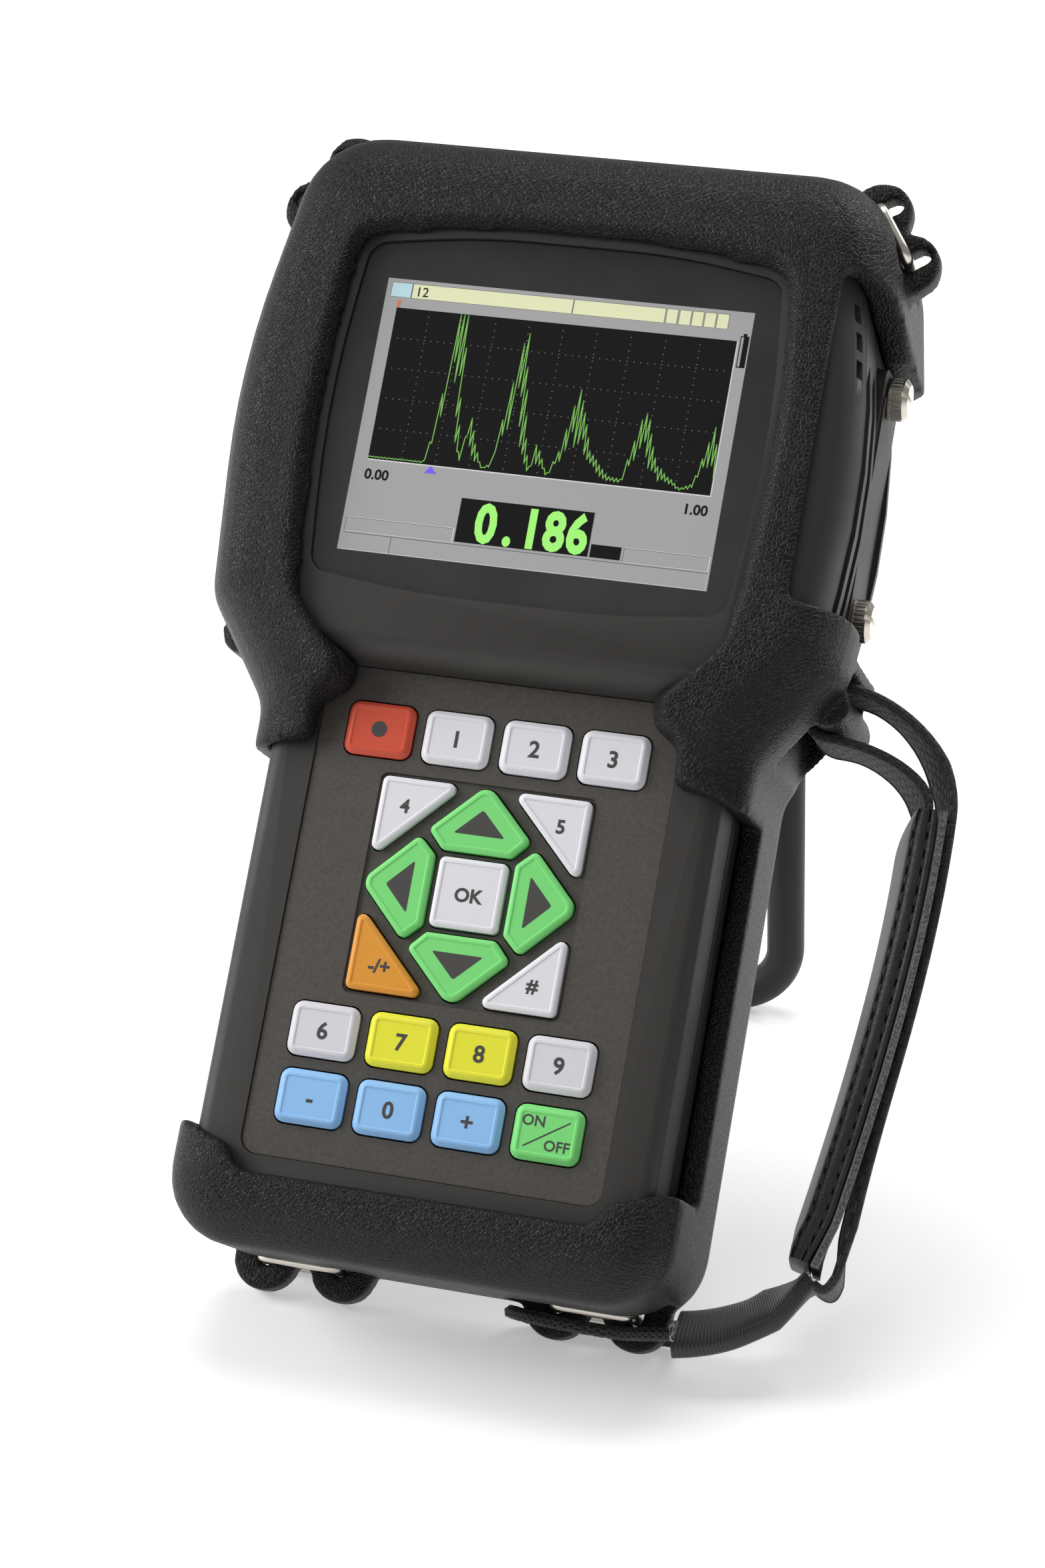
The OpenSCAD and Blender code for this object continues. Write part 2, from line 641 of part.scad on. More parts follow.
// Outline of the opening beside the door as points [y, z], arched at its upper end
door_ends = [door_y - door_len / 2 - 1.7, door_y + door_len / 2 + 1.5];
door_front = door_z + door_w / 2 + 2;
flange_z = case_back + 1.6;
door_opening = [[door_ends[1] + 10.5, 20], [door_ends[1] + 10.5, 1], [door_ends[1] + 8.5, -8],
    [door_ends[1] + 5, -18], [door_ends[1] + 1.5, -28], [door_ends[1], flange_z],
    [door_ends[0], flange_z], [door_ends[0], door_front], [door_ends[0] + 4.7, door_front],
    [door_ends[0] + 4.7, 20]];
side_cut_x = case_half_w - side_cut;
// Posts for a hand strap in both shoulders
post_at = [case_half_w - 2.1, -43];
post_r = 4.4;
post_z = [-47, -20];
slot_top = post_at.y + post_r + web_t + 0.9;
module boot() {
    color("#232323") on_table() resize([0, 0, 0]) difference() {
        union() {
            difference() {
                boot_block();
                // Opening beside the door down to a flange at the back, and the slot for the strap
                translate([side_cut_x, 0, 0]) rotate([90, 0, 90]) linear_extrude(40)
                    offset(3, $fn = 16) offset(-3) polygon(door_opening);
                translate([side_cut_x + 4.8, door_ends[0], boot_back_z - eps])
                    cube([40, door_ends[1] - door_ends[0], flange_z - boot_back_z + 2]);
                for (s = [0, 1]) mirror([s, 0, 0]) translate([post_at.x - 8.5, slot_top - 20, post_z[0]])
                    cube([40, 20, post_z[1] - post_z[0]]);
            }
            for (s = [-1, 1]) translate([s * post_at.x, post_at.y, post_z[0] - 1])
                cylinder(h = post_z[1] - post_z[0] + 2, r = post_r, $fn = 24);
            for (s = [-1, 1]) at_lug(false, s) ring_lug(lug_half, ear_r, 8);
            for (s = [-1, 1]) at_lug(true, s) ring_lug(top_lug_half, top_ear_r, 12);
        }
        // Room for the case
        case_front(boot_gap, -split_depth - 1);
        case_rear(boot_gap, -split_depth);
        // Display, keypad and shelf openings, flared towards the front
        loft(level_rings(window_corners, [[-4, 0.6], [0.4, 0.6], [2, 1.8], [frame_h + 0.1, 3.8], [12, 8]]));
        loft(level_rings(face_gap_corners, [[-26, 0], [-7, 0], [-3, 0.8], [2.5, 3.4], [12, 7]], 3));
        // Openings at the top end and over the battery
        translate([-34, case_top - 8, socket_z - 9]) cube([70, 40, 18]);
        battery_area(boot_back_z - 5, case_back + 2, cover_lip + 3);
        // Slots and hollows for the rings
        for (s = [-1, 1]) {
            at_lug(false, s) ring_slots(ring_w, 1);
            at_lug(true, s) ring_slots(top_ring_w, -1);
            at_lug(false, s) ring_hollow(lug_half + ear_r, 4.5, ear_t - 0.1, 8);
            at_lug(true, s) ring_hollow(top_lug_half + top_ear_r, 2, ear_t - 0.1, 7);
            at_lug(true, s) ring_hollow(top_lug_half + top_ear_r, 2, 0.1, -12);
        }
        // Flat soles where the lower lugs meet the table
        rotate([lean - 90, 0, 0]) translate([-100, -300, table - 20]) cube([200, 600, 20]);
    }
}

// Wire rings, each hinged on its front bar

ring_front = ear_t + 3.6;
module ring_wire_loop(w) {
    r = ring_wire / 2;
    bend = 2.6;
    hw = w / 2;
    // Front and rear bars, then the sides and the four bends
    for (z = [0, -ring_d]) translate([-hw + bend, 0, z]) rotate([0, 90, 0])
        cylinder(h = w - 2 * bend, r = r);
    for (s = [-1, 1]) translate([s * hw, 0, -ring_d + bend]) cylinder(h = ring_d - 2 * bend, r = r);
    for (s = [-1, 1], e = [0, 1]) translate([s * (hw - bend), 0, e == 0 ? -bend : -ring_d + bend])
        rotate([90, 0, 0]) rotate(s > 0 ? (e == 0 ? 0 : -90) : (e == 0 ? 90 : 180))
            rotate_extrude(angle = 90) translate([bend, 0]) circle(r);
}
module ring(is_top, side) {
    color("#c9c6bf") on_table() at_lug(is_top, side) translate([0, 0, ring_front])
        ring_wire_loop(is_top ? top_ring_w : ring_w);
}
module ring_top_left() {
    ring(true, -1);
}
module ring_top_right() {
    ring(true, 1);
}
module ring_bottom_left() {
    ring(false, -1);
}
module ring_bottom_right() {
    ring(false, 1);
}

// Stand

hinge_z = boot_back_z - 6;
bracket_half_w = stand_half_w - 10;
pin_gap = 0.05;
// Length of the legs that brings the crossbar down to the table
stand_len = (cos(lean) * hinge_y + sin(lean) * hinge_z - table - stand_bar / 2) / cos(stand_open - lean);
module at_stand() {
    translate([0, hinge_y, hinge_z]) rotate([stand_open, 0, 0]) children();
}
stand_bend = 14;
module stand() {
    r = stand_bar / 2;
    color("#1e1e1e") on_table() at_stand() {
        for (s = [-1, 1]) {
            // Leg, its eye, and the pin that points inwards
            translate([s * stand_half_w, 0, 0]) rotate([90, 0, 0])
                cylinder(h = stand_len - stand_bend, r = r);
            translate([s * stand_half_w - r, 0, 0]) rotate([0, 90, 0]) cylinder(h = 2 * r, r = r);
            translate([s > 0 ? bracket_half_w - 12 : -stand_half_w, 0, 0]) rotate([0, 90, 0])
                cylinder(h = stand_half_w - bracket_half_w + 12, r = hinge_pin / 2);
            translate([s * (stand_half_w - stand_bend), -stand_len + stand_bend, 0])
                rotate(s > 0 ? -90 : 180) rotate_extrude(angle = 90) translate([stand_bend, 0]) circle(r);
        }
        translate([-stand_half_w + stand_bend, -stand_len, 0]) rotate([0, 90, 0])
            cylinder(h = 2 * (stand_half_w - stand_bend), r = r);
    }
}
module stand_bracket() {
    color("#1a1a1a") on_table() difference() {
        translate([-bracket_half_w, hinge_y, hinge_z]) rotate([90, 0, 90])
            linear_extrude(2 * bracket_half_w) {
                circle(hinge_pin / 2 + 2.4);
                translate([-9, 0]) square([18, boot_back_z - hinge_z]);
            }
        for (s = [-1, 1]) translate([s * (bracket_half_w - 6), hinge_y, hinge_z]) rotate([0, 90, 0])
            cylinder(h = 14, r = hinge_pin / 2 + pin_gap, center = true);
    }
}

// Hand strap

// Points along a cubic curve
function curve(a, b, c, d, steps) = [for (i = [0:steps]) let (t = i / steps, u = 1 - t)
    u * u * u * a + 3 * u * u * t * b + 3 * u * t * t * c + t * t * t * d];
// Direction across a path in the face plane, to the right of its way down
function beside(path, i) =
    let (d = unit(flat(path[min(i + 1, len(path) - 1)] - path[max(i - 1, 0)]))) [-d.y, d.x];
// A band of a given width along z, swept along points in the face plane with its own depth at each.
module band(path, width, thick) {
    n = len(path);
    side = [for (i = [0:n - 1]) beside(path, i)];
    polyhedron([for (i = [0:n - 1]) each [for (c = [[1, 1], [1, -1], [-1, -1], [-1, 1]])
            path[i] + [side[i].x * thick / 2 * c.x, side[i].y * thick / 2 * c.x, width / 2 * c.y]]],
        concat([[0, 1, 2, 3], [4 * n - 1, 4 * n - 2, 4 * n - 3, 4 * n - 4]],
            [for (i = [0:n - 2], j = [0:3]) each [
                [4 * i + j, 4 * i + 4 + j, 4 * i + (j + 1) % 4],
                [4 * i + (j + 1) % 4, 4 * i + 4 + j, 4 * i + 4 + (j + 1) % 4]]]));
}
web_z = (post_z[0] + post_z[1]) / 2;
strap_end_z = -39;
web_r = post_r + 0.2 + web_t / 2;
pad_top = [post_at.x + 20.4, post_at.y - 18.6, web_z];
pad_bottom = [lug_x + 40.3, lug_y + 14.8, strap_end_z];
pad_path = curve(pad_top, [post_at.x + 21.4, post_at.y - 49, web_z],
    [lug_x + 45.2, lug_y + 38.8, strap_end_z + 2], pad_bottom, 14);
// The webbing's run down the outside of the pad
web_off = (pad_t + web_t) / 2 + 0.3;
web_outside = [for (i = [0:2:14])
    let (b = beside(pad_path, i)) pad_path[i] + web_off * [b.x, b.y, 0]];
// From the top of the pad, round the post, and down outside the pad to the sleeve
web_path = concat(
    curve(pad_top + [0, 0.3, 0], [post_at.x + 20, post_at.y - 11.5, web_z],
        [post_at.x + 9.5, post_at.y - web_r, web_z], [post_at.x, post_at.y - web_r, web_z], 9),
    [for (a = [255:-30:105]) [post_at.x + web_r * cos(a), post_at.y + web_r * sin(a), web_z]],
    curve([post_at.x, post_at.y + web_r, web_z], [post_at.x + 11, post_at.y + web_r + 0.6, web_z],
        web_outside[0] + [-0.3, 13, 0], web_outside[0], 8),
    [for (i = [1:len(web_outside) - 1]) web_outside[i]]);
module strap_webbing() {
    color("#1d1b1a") on_table() band(web_path, web_w, web_t);
}
module strap_pad() {
    color("#26221f") on_table() band(pad_path, pad_w, pad_t);
}
sleeve_path = [for (p = curve([42.3, 12.6, 0], [36.5, 7.2, 0], [31.5, 0.6, 0], [17.5, -1.8, 0], 8))
    p + [lug_x, lug_y, strap_end_z]];
module strap_sleeve() {
    color("#161616") on_table() band(sleeve_path, web_w - 1, 4.6);
}

// The cord from the sleeve, round the lower right-hand lug and back
cord_route = [for (p = [[16.7, -2.2, 11.4], [11.5, -2.8, 9.4], [5.5, -3.4, 8], [-5.5, -3.4, 8],
        [-12.5, -3, 7.8], [-16.3, -2.6, 6], [-17.5, -2.5, 3], [-16.3, -2.6, -0.2], [-12.5, -2.9, -1.6],
        [-4.5, -2.9, -1.6], [3.5, -2.9, -1.6], [10.5, -2.8, -1.7], [13.7, -2.7, -1.6], [15.4, -2.6, -1],
        [15.85, -2.5, 0.4], [16, -2.4, 1.8]])
    p + [lug_x, lug_y, lug_back]];
module tube(route, d, sides) {
    n = len(route);
    along = [for (i = [0:n - 1]) unit(route[min(i + 1, n - 1)] - route[max(i - 1, 0)])];
    polyhedron([for (i = [0:n - 1]) let (u = unit(cross(along[i], [0, 1, 0])), v = cross(along[i], u))
            each [for (j = [0:sides - 1])
                route[i] + d / 2 * (cos(j * 360 / sides) * u + sin(j * 360 / sides) * v)]],
        concat([[for (j = [0:sides - 1]) j], [for (j = [sides - 1:-1:0]) (n - 1) * sides + j]],
            [for (i = [0:n - 2], j = [0:sides - 1]) let (k = (j + 1) % sides) each [
                [i * sides + j, (i + 1) * sides + j, i * sides + k],
                [i * sides + k, (i + 1) * sides + j, (i + 1) * sides + k]]]));
}
module strap_cord() {
    color("#141414") on_table() tube(cord_route, cord_d, 6);
}

front_housing();
rear_housing();
case_seal();
case_screws();
display_window();
display_module();
main_board();
beeper();
battery_pack();
battery_cover();
battery_screws();
keypad_overlay();
keypad_board();
for (k = row_keys) row_key(k);
for (k = cluster_keys) cluster_key(k);
side_door();
side_sockets();
door_screw(1);  // door_screw_upper
door_screw(-1);  // door_screw_lower
probe_socket_left();
probe_socket_right();
power_socket();
boot();
stand();
stand_bracket();
ring_top_left();
ring_top_right();
ring_bottom_left();
ring_bottom_right();
strap_webbing();
strap_pad();
strap_sleeve();
strap_cord();
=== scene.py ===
import json
import math
import random
import bmesh
import bpy
from mathutils import Matrix, Vector

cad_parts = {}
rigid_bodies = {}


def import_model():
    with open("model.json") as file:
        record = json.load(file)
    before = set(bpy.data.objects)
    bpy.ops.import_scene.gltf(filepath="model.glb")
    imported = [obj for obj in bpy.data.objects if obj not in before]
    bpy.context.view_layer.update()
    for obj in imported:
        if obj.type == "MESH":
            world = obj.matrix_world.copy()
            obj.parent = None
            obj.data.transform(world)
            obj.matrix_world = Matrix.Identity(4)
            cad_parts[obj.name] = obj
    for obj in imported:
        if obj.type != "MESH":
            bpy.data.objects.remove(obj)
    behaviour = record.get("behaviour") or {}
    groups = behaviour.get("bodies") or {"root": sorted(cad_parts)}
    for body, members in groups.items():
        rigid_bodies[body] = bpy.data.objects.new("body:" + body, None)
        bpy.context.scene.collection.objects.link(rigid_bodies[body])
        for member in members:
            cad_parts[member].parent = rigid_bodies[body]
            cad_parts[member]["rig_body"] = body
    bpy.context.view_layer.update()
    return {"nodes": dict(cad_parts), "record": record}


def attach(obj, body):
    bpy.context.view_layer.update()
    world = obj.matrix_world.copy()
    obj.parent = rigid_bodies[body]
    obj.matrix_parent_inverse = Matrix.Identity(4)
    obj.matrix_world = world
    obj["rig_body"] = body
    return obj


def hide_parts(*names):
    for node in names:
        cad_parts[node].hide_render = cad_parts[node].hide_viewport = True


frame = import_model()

nodes = frame["nodes"]

# The table, light and camera
# A pale seamless table with a soft box from the left, another overhead and a weak one behind.
# The camera stands in front and to the right, a little above the gauge.
scene = bpy.context.scene
scene.view_settings.view_transform = "Standard"


def linear(hex_colour):
    parts = [int(hex_colour[i:i + 2], 16) / 255 for i in (1, 3, 5)]
    return [c / 12.92 if c <= 0.04045 else ((c + 0.055) / 1.055) ** 2.4 for c in parts] + [1]


def add(material, kind, links=None, **settings):
    """Adds a node with its settings; links gives each input a value or another node's output."""
    tree = material.node_tree
    new = tree.nodes.new("ShaderNode" + kind)
    for name, value in settings.items():
        setattr(new, name, value)
    for socket, source in (links or {}).items():
        if isinstance(source, bpy.types.NodeSocket):
            tree.links.new(source, new.inputs[socket])
        else:
            new.inputs[socket].default_value = source
    return new


def finish(name, colour, roughness, **sockets):
    """A material with one surface shader; sockets are given by name with _ for a space."""
    material = bpy.data.materials.new(name)
    material.use_nodes = True
    shader = material.node_tree.nodes["Principled BSDF"]
    shader.inputs["Base Color"].default_value = linear(colour)
    shader.inputs["Roughness"].default_value = roughness
    for socket, value in sockets.items():
        shader.inputs[socket.replace("_", " ")].default_value = value
    return material, shader


def join(material, source, shader, socket):
    material.node_tree.links.new(source, shader.inputs[socket])


floor_mesh = bmesh.new()
bmesh.ops.create_grid(floor_mesh, x_segments=1, y_segments=1, size=4)
floor_data = bpy.data.meshes.new("table_top")
floor_mesh.to_mesh(floor_data)
floor_mesh.free()
table_top = bpy.data.objects.new("table_top", floor_data)
scene.collection.objects.link(table_top)
table_paint, matt = finish("white studio table", "#f4f4f4", 0.7)
# What the camera, metal and glass see of the table is lifted to white, and it keeps the gauge's shadow
rays = add(table_paint, "LightPath")
sharp = add(table_paint, "Math", {0: rays.outputs["Is Glossy Ray"], 1: rays.outputs["Is Transmission Ray"]},
            operation="MAXIMUM")
seen = add(table_paint, "Math", {0: rays.outputs["Is Camera Ray"], 1: sharp.outputs[0]}, operation="MAXIMUM")
glow = add(table_paint, "Emission", {"Color": linear("#ffffff"), "Strength": 0.35})
both = add(table_paint, "AddShader", {0: matt.outputs[0], 1: glow.outputs[0]})
pick = add(table_paint, "MixShader", {0: seen.outputs[0], 1: matt.outputs[0], 2: both.outputs[0]})
join(table_paint, pick.outputs[0], table_paint.node_tree.nodes["Material Output"], "Surface")
floor_data.materials.append(table_paint)

world = bpy.data.worlds.new("studio")
scene.world = world
world.use_nodes = True
backdrop = world.node_tree.nodes["Background"]
backdrop.inputs["Color"].default_value = linear("#ffffff")
# The camera sees the surroundings white; the gauge is lit by them at under a third of that
rays = add(world, "LightPath")
level = add(world, "MapRange", {"Value": rays.outputs["Is Camera Ray"], "To Min": 0.3, "To Max": 1})
join(world, level.outputs[0], backdrop, "Strength")

for lamp_name, place, size, power in (("soft_box_left", (-1.3, -0.35, 0.75), 0.9, 18),
                                      ("soft_box_overhead", (-0.1, 0.25, 1.5), 0.8, 9),
                                      ("rim_back", (0.5, 0.9, 0.8), 0.6, 6)):
    lamp = bpy.data.lights.new(lamp_name, "AREA")
    lamp.size = size
    lamp.energy = power
    holder = bpy.data.objects.new(lamp_name, lamp)
    holder.location = place
    holder.rotation_euler = (Vector((0, 0, 0.1)) - Vector(place)).to_track_quat("-Z", "Y").to_euler()
    scene.collection.objects.link(holder)

camera = bpy.data.objects.new("camera", bpy.data.cameras.new("camera"))
camera.data.lens = 91.84
camera.data.sensor_width = 36
camera.location = (0.2111, -0.7047, 0.4384)
aim = Vector((0.0047, -0.0301, 0.1034))
camera.rotation_euler = (aim - camera.location).to_track_quat("-Z", "Y").to_euler()
scene.collection.objects.link(camera)
scene.camera = camera

# The case
# Two halves of black glass-filled ABS with a fine spark-eroded grain, screwed together from behind
# over a rubber seal. The front half carries the window and the keypad deck.
abs_case, shader = finish("grained black ABS", "#2a2826", 0.5, IOR=1.53)
place = add(abs_case, "TexCoord")
# Spark grain of about 0.3 mm
grain = add(abs_case, "TexNoise",
            {"Vector": place.outputs["Object"], "Scale": 1 / 0.0003, "Detail": 2, "Roughness": 0.5})
relief = add(abs_case, "Bump", {"Height": grain.outputs[0], "Strength": 0.25, "Distance": 0.0001})
join(abs_case, relief.outputs[0], shader, "Normal")
# Handling leaves the grain a little shinier in patches of a few centimetres
patches = add(abs_case, "TexNoise", {"Vector": place.outputs["Object"], "Scale": 1 / 0.03, "Detail": 4})
shine = add(abs_case, "MapRange",
            {"Value": patches.outputs[0], "From Min": 0.3, "From Max": 0.7, "To Min": 0.48, "To Max": 0.64})
join(abs_case, shine.outputs[0], shader, "Roughness")


def merged(name, node, angle, material):
    """A smooth-shaded copy of a CAD node, with edges sharper than the angle kept crisp."""
    shape = bmesh.new()
    shape.from_mesh(nodes[node].data)
    bmesh.ops.remove_doubles(shape, verts=shape.verts, dist=1e-6)
    bmesh.ops.dissolve_limit(shape, angle_limit=math.radians(0.4), verts=shape.verts, edges=shape.edges)
    return shown(name, node, shape, angle, material)


def shown(name, node, shape, angle, material, body=None):
    """Turns a bmesh into a piece that rides with its node's body and stands for the node."""
    for face in shape.faces:
        face.smooth = True
    for edge in shape.edges:
        edge.smooth = edge.calc_face_angle(0) < math.radians(angle)
    data = bpy.data.meshes.new(name)
    shape.to_mesh(data)
    shape.free()
    data.materials.append(material)
    piece = bpy.data.objects.new(name, data)
    scene.collection.objects.link(piece)
    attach(piece, body or nodes[node]["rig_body"])
    if node:
        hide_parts(node)
    return piece


for half in ("front_housing", "rear_housing"):
    merged(half + "_moulding", half, 32, abs_case)


def coat(node, material):
    """Gives a CAD node that keeps its own shape a finished material."""
    nodes[node].data.materials.clear()
    nodes[node].data.materials.append(material)


coat("battery_cover", abs_case)

# Seal and screws
# A black nitrile ring lies between the halves, and stainless screws pull them together.
nitrile, shader = finish("black nitrile rubber", "#101010", 0.7)
place = add(nitrile, "TexCoord")
bloom = add(nitrile, "TexNoise", {"Vector": place.outputs["Object"], "Scale": 1 / 0.004, "Detail": 3})
tint = add(nitrile, "ValToRGB", {0: bloom.outputs[0]})
tint.color_ramp.elements[0].color = linear("#0c0c0c")
tint.color_ramp.elements[1].color = linear("#1c1c1c")
join(nitrile, tint.outputs[0], shader, "Base Color")
coat("case_seal", nitrile)
steel, shader = finish("turned stainless steel", "#a5a5a3", 0.32, Metallic=1)
place = add(steel, "TexCoord")
turning = add(steel, "TexNoise", {"Vector": place.outputs["Object"], "Scale": 1 / 0.0006, "Detail": 2})
shine = add(steel, "MapRange", {"Value": turning.outputs[0], "To Min": 0.24, "To Max": 0.42})
join(steel, shine.outputs[0], shader, "Roughness")
for node in ("case_screws", "battery_screws", "side_sockets"):
    coat(node, steel)

# The display
# A hard-coated acrylic window with a grey border printed on its back lies flush in the bezel.
# The lit liquid-crystal panel is bonded under it; its picture is a measurement sweep.
# Millimetres on the face, from the display's middle, are turned into metres on the table
face_height, face_tilt = 0.165373, math.radians(53)
face_frame = (Matrix.Translation((0, 0, face_height)) @ Matrix.Rotation(face_tilt, 4, "X")
              @ Matrix.Scale(0.001, 4))
acrylic, shader = finish("acrylic window with printed border", "#2b2a29", 0.35, IOR=1.49,
                         Coat_Weight=0.08, Coat_Roughness=0.1)
place = add(acrylic, "TexCoord")
# Painted shade: the border is coloured a little darker towards its upper edge, over about 60 mm of height,
# for the way light falls on its gloss
painted_shade_axis = add(acrylic, "SeparateXYZ", {0: place.outputs["Object"]})
height = add(acrylic, "MapRange",
             {"Value": painted_shade_axis.outputs["Z"], "From Min": 0.135, "From Max": 0.195, "To Min": 0, "To Max": 1})
tint = add(acrylic, "ValToRGB", {0: height.outputs[0]})
tint.color_ramp.elements[0].color = linear("#2f2e2d")
tint.color_ramp.elements[1].color = linear("#232221")
join(acrylic, tint.outputs[0], shader, "Base Color")
haze = add(acrylic, "TexNoise", {"Vector": place.outputs["Object"], "Scale": 1 / 0.012, "Detail": 4})
shine = add(acrylic, "MapRange",
            {"Value": haze.outputs[0], "From Min": 0.3, "From Max": 0.7, "To Min": 0.3, "To Max": 0.42})
join(acrylic, shine.outputs[0], shader, "Roughness")
merged("display_window_pane", "display_window", 30, acrylic)
coat("display_module", acrylic)


def ink(name, colour, light=0.0, roughness=0.3):
    """A colour seen through the glossy window or printed on a key, with a faint cell grid in its shine."""
    material, surface = finish(name, colour, roughness, Specular_IOR_Level=0.25)
    if light:
        surface.inputs["Emission Color"].default_value = linear(colour)
        surface.inputs["Emission Strength"].default_value = light
    where = add(material, "TexCoord")
    # Pixels of about 0.12 mm, drawn at 0.4 mm so that they show
    cells = add(material, "TexNoise", {"Vector": where.outputs["Object"], "Scale": 1 / 0.0004, "Detail": 1})
    level = add(material, "MapRange",
                {"Value": cells.outputs[0], "To Min": roughness - 0.05, "To Max": roughness + 0.05})
    join(material, level.outputs[0], surface, "Roughness")
    return material


def bar(shape, x0, x1, y0, y1, turn=0.0):
    """Adds a flat rectangle in millimetres to a bmesh, turned about its middle."""
    put = (Matrix.Translation(((x0 + x1) / 2, (y0 + y1) / 2, 0)) @ Matrix.Rotation(turn, 4, "Z")
           @ Matrix.Diagonal((abs(x1 - x0), abs(y1 - y0), 1, 1)))
    bmesh.ops.create_grid(shape, x_segments=1, y_segments=1, size=0.5, matrix=put)


def print_on(name, shape, lift, material, body="gauge"):
    """Lays a flat bmesh in millimetres on the face, lift above the display plane."""
    bmesh.ops.transform(shape, matrix=face_frame @ Matrix.Translation((0, 0, lift)), verts=shape.verts)
    piece = shown(name, None, shape, 30, material, body)


def baked(holder):
    """The bmesh of an object with its text, bevel or modifiers worked out; the object is removed."""
    scene.collection.objects.link(holder)
    bpy.context.view_layer.update()
    graph = bpy.context.evaluated_depsgraph_get()
    mesh = bpy.data.meshes.new_from_object(holder.evaluated_get(graph))
    bpy.data.objects.remove(holder)
    shape = bmesh.new()
    shape.from_mesh(mesh)
    return shape


def letters(name, text, height, x, y, lift, material, body="gauge", weight=0.0, stretch=1.0,
            align="CENTER"):
    """Plain numerals and signs as flat shapes; x, y is the foot of the text."""
    font = bpy.data.curves.new(name, "FONT")
    font.body = text
    # Numerals are 0.72 of the font's size
    font.size = height / 0.72
    font.offset = weight
    font.align_x = align
    font.resolution_u = 3
    shape = baked(bpy.data.objects.new(name, font))
    bmesh.ops.remove_doubles(shape, verts=shape.verts, dist=1e-5)
    put = Matrix.Translation((x, y, 0)) @ Matrix.Diagonal((stretch, 1, 1, 1))
    bmesh.ops.transform(shape, matrix=put, verts=shape.verts)
    print_on(name, shape, lift, material, body)


lcd_grey = ink("lit grey display film", "#a9a9a9", 0.04)
lcd_dark = ink("dark display cells", "#131313")
lcd_line = ink("grey display lines", "#6f6f6f")
lcd_white = ink("white display cells", "#dcdcdc", 0.08)
lcd_cream = ink("cream display cells", "#e6e8bf", 0.08)
lcd_sky = ink("pale blue display cells", "#bfe0e8", 0.08)
lcd_trace = ink("green display trace", "#7fbf5e", 0.15)
lcd_digit = ink("bright green display cells", "#9be974", 0.25)
lcd_marker = ink("violet display cells", "#7a5cf0", 0.2)
lcd_tick = ink("orange display cells", "#e07a45", 0.1)

panel = bmesh.new()
bar(panel, -37.5, 37.6, -28.2, 28.1)
print_on("screen_panel", panel, 0.02, lcd_grey)
graph_left, graph_right, graph_low, graph_high = -34.7, 35.0, -9.3, 22.1
rims = bmesh.new()
bar(rims, graph_left, graph_right + 0.25, graph_low - 0.25, graph_high)
for left, right, low, high in ((-36.7, -14.5, -24.4, -21.4), (20.1, 37.2, -24.4, -21.4),
                               (-36.7, 37.2, -28.1, -24.8)):
    bar(rims, left, right, low, high)
print_on("screen_rims", rims, 0.03, lcd_white)
lines = bmesh.new()
for left, right, low, high in ((-36.8, -14.7, -24.3, -21.5), (20.0, 37.0, -24.3, -21.5)):
    bar(lines, left, right, high - 0.12, high)
    bar(lines, left, left + 0.12, low, high)
bar(lines, -36.8, 37.2, -24.75, -24.6)
bar(lines, -26.95, -26.8, -28.1, -24.75)
for left, right in ((-36.5, -32.2), (-32.1, 1.1), (1.2, 19.9), (20.1, 22.4), (22.7, 25.1), (25.3, 27.6),
                    (27.8, 30.1), (30.3, 32.7)):
    bar(lines, left, right, 24.3, 27.35)
print_on("screen_lines", lines, 0.04, lcd_line)
fills = bmesh.new()
for left, right, low, high in ((-36.7, -14.7, -24.3, -21.62), (20.12, 37.0, -24.3, -21.62),
                               (-36.7, -26.95, -28.0, -24.75), (-26.8, 37.1, -28.0, -24.75)):
    bar(fills, left + 0.02, right, low, high)
print_on("screen_fields", fills, 0.05, lcd_grey)
creams = bmesh.new()
for left, right in ((-32.0, 1.1), (1.3, 19.9), (20.2, 22.4), (22.8, 25.1), (25.4, 27.6), (27.9, 30.1),
                    (30.4, 32.7)):
    bar(creams, left, right - 0.08, 24.35, 27.25)
print_on("screen_heading", creams, 0.05, lcd_cream)
sky = bmesh.new()
bar(sky, -36.4, -32.3, 24.35, 27.25)
print_on("screen_number_cell", sky, 0.05, lcd_sky)
darks = bmesh.new()
bar(darks, graph_left, graph_right, graph_low, graph_high)
bar(darks, -14.1, 13.0, -24.1, -15.2)
bar(darks, 13.4, 19.5, -24.1, -21.5)
# Battery sign beside the graph
bar(darks, 35.6, 37.3, 16.8, 23.2)
bar(darks, 36.1, 36.8, 23.2, 23.7)
print_on("screen_dark_fields", darks, 0.06, lcd_dark)
charge = bmesh.new()
bar(charge, 35.8, 36.25, 17.0, 23.0)
print_on("screen_charge", charge, 0.07, lcd_grey)
dots = bmesh.new()
grid_column, grid_row, dot_step, dot_half = 6.95, 6.27, 1.39, 0.11
dot_places = [(i * grid_column, j * dot_step) for i in range(1, 10) for j in range(1, 23)]
dot_places += [(i * dot_step, j * grid_row) for j in range(1, 5) for i in range(1, 50)]
for right, down in dot_places:
    x, y = graph_left + right, graph_high - down
    bar(dots, x - dot_half, x + dot_half, y - dot_half, y + dot_half)
print_on("screen_dots", dots, 0.07, lcd_line)
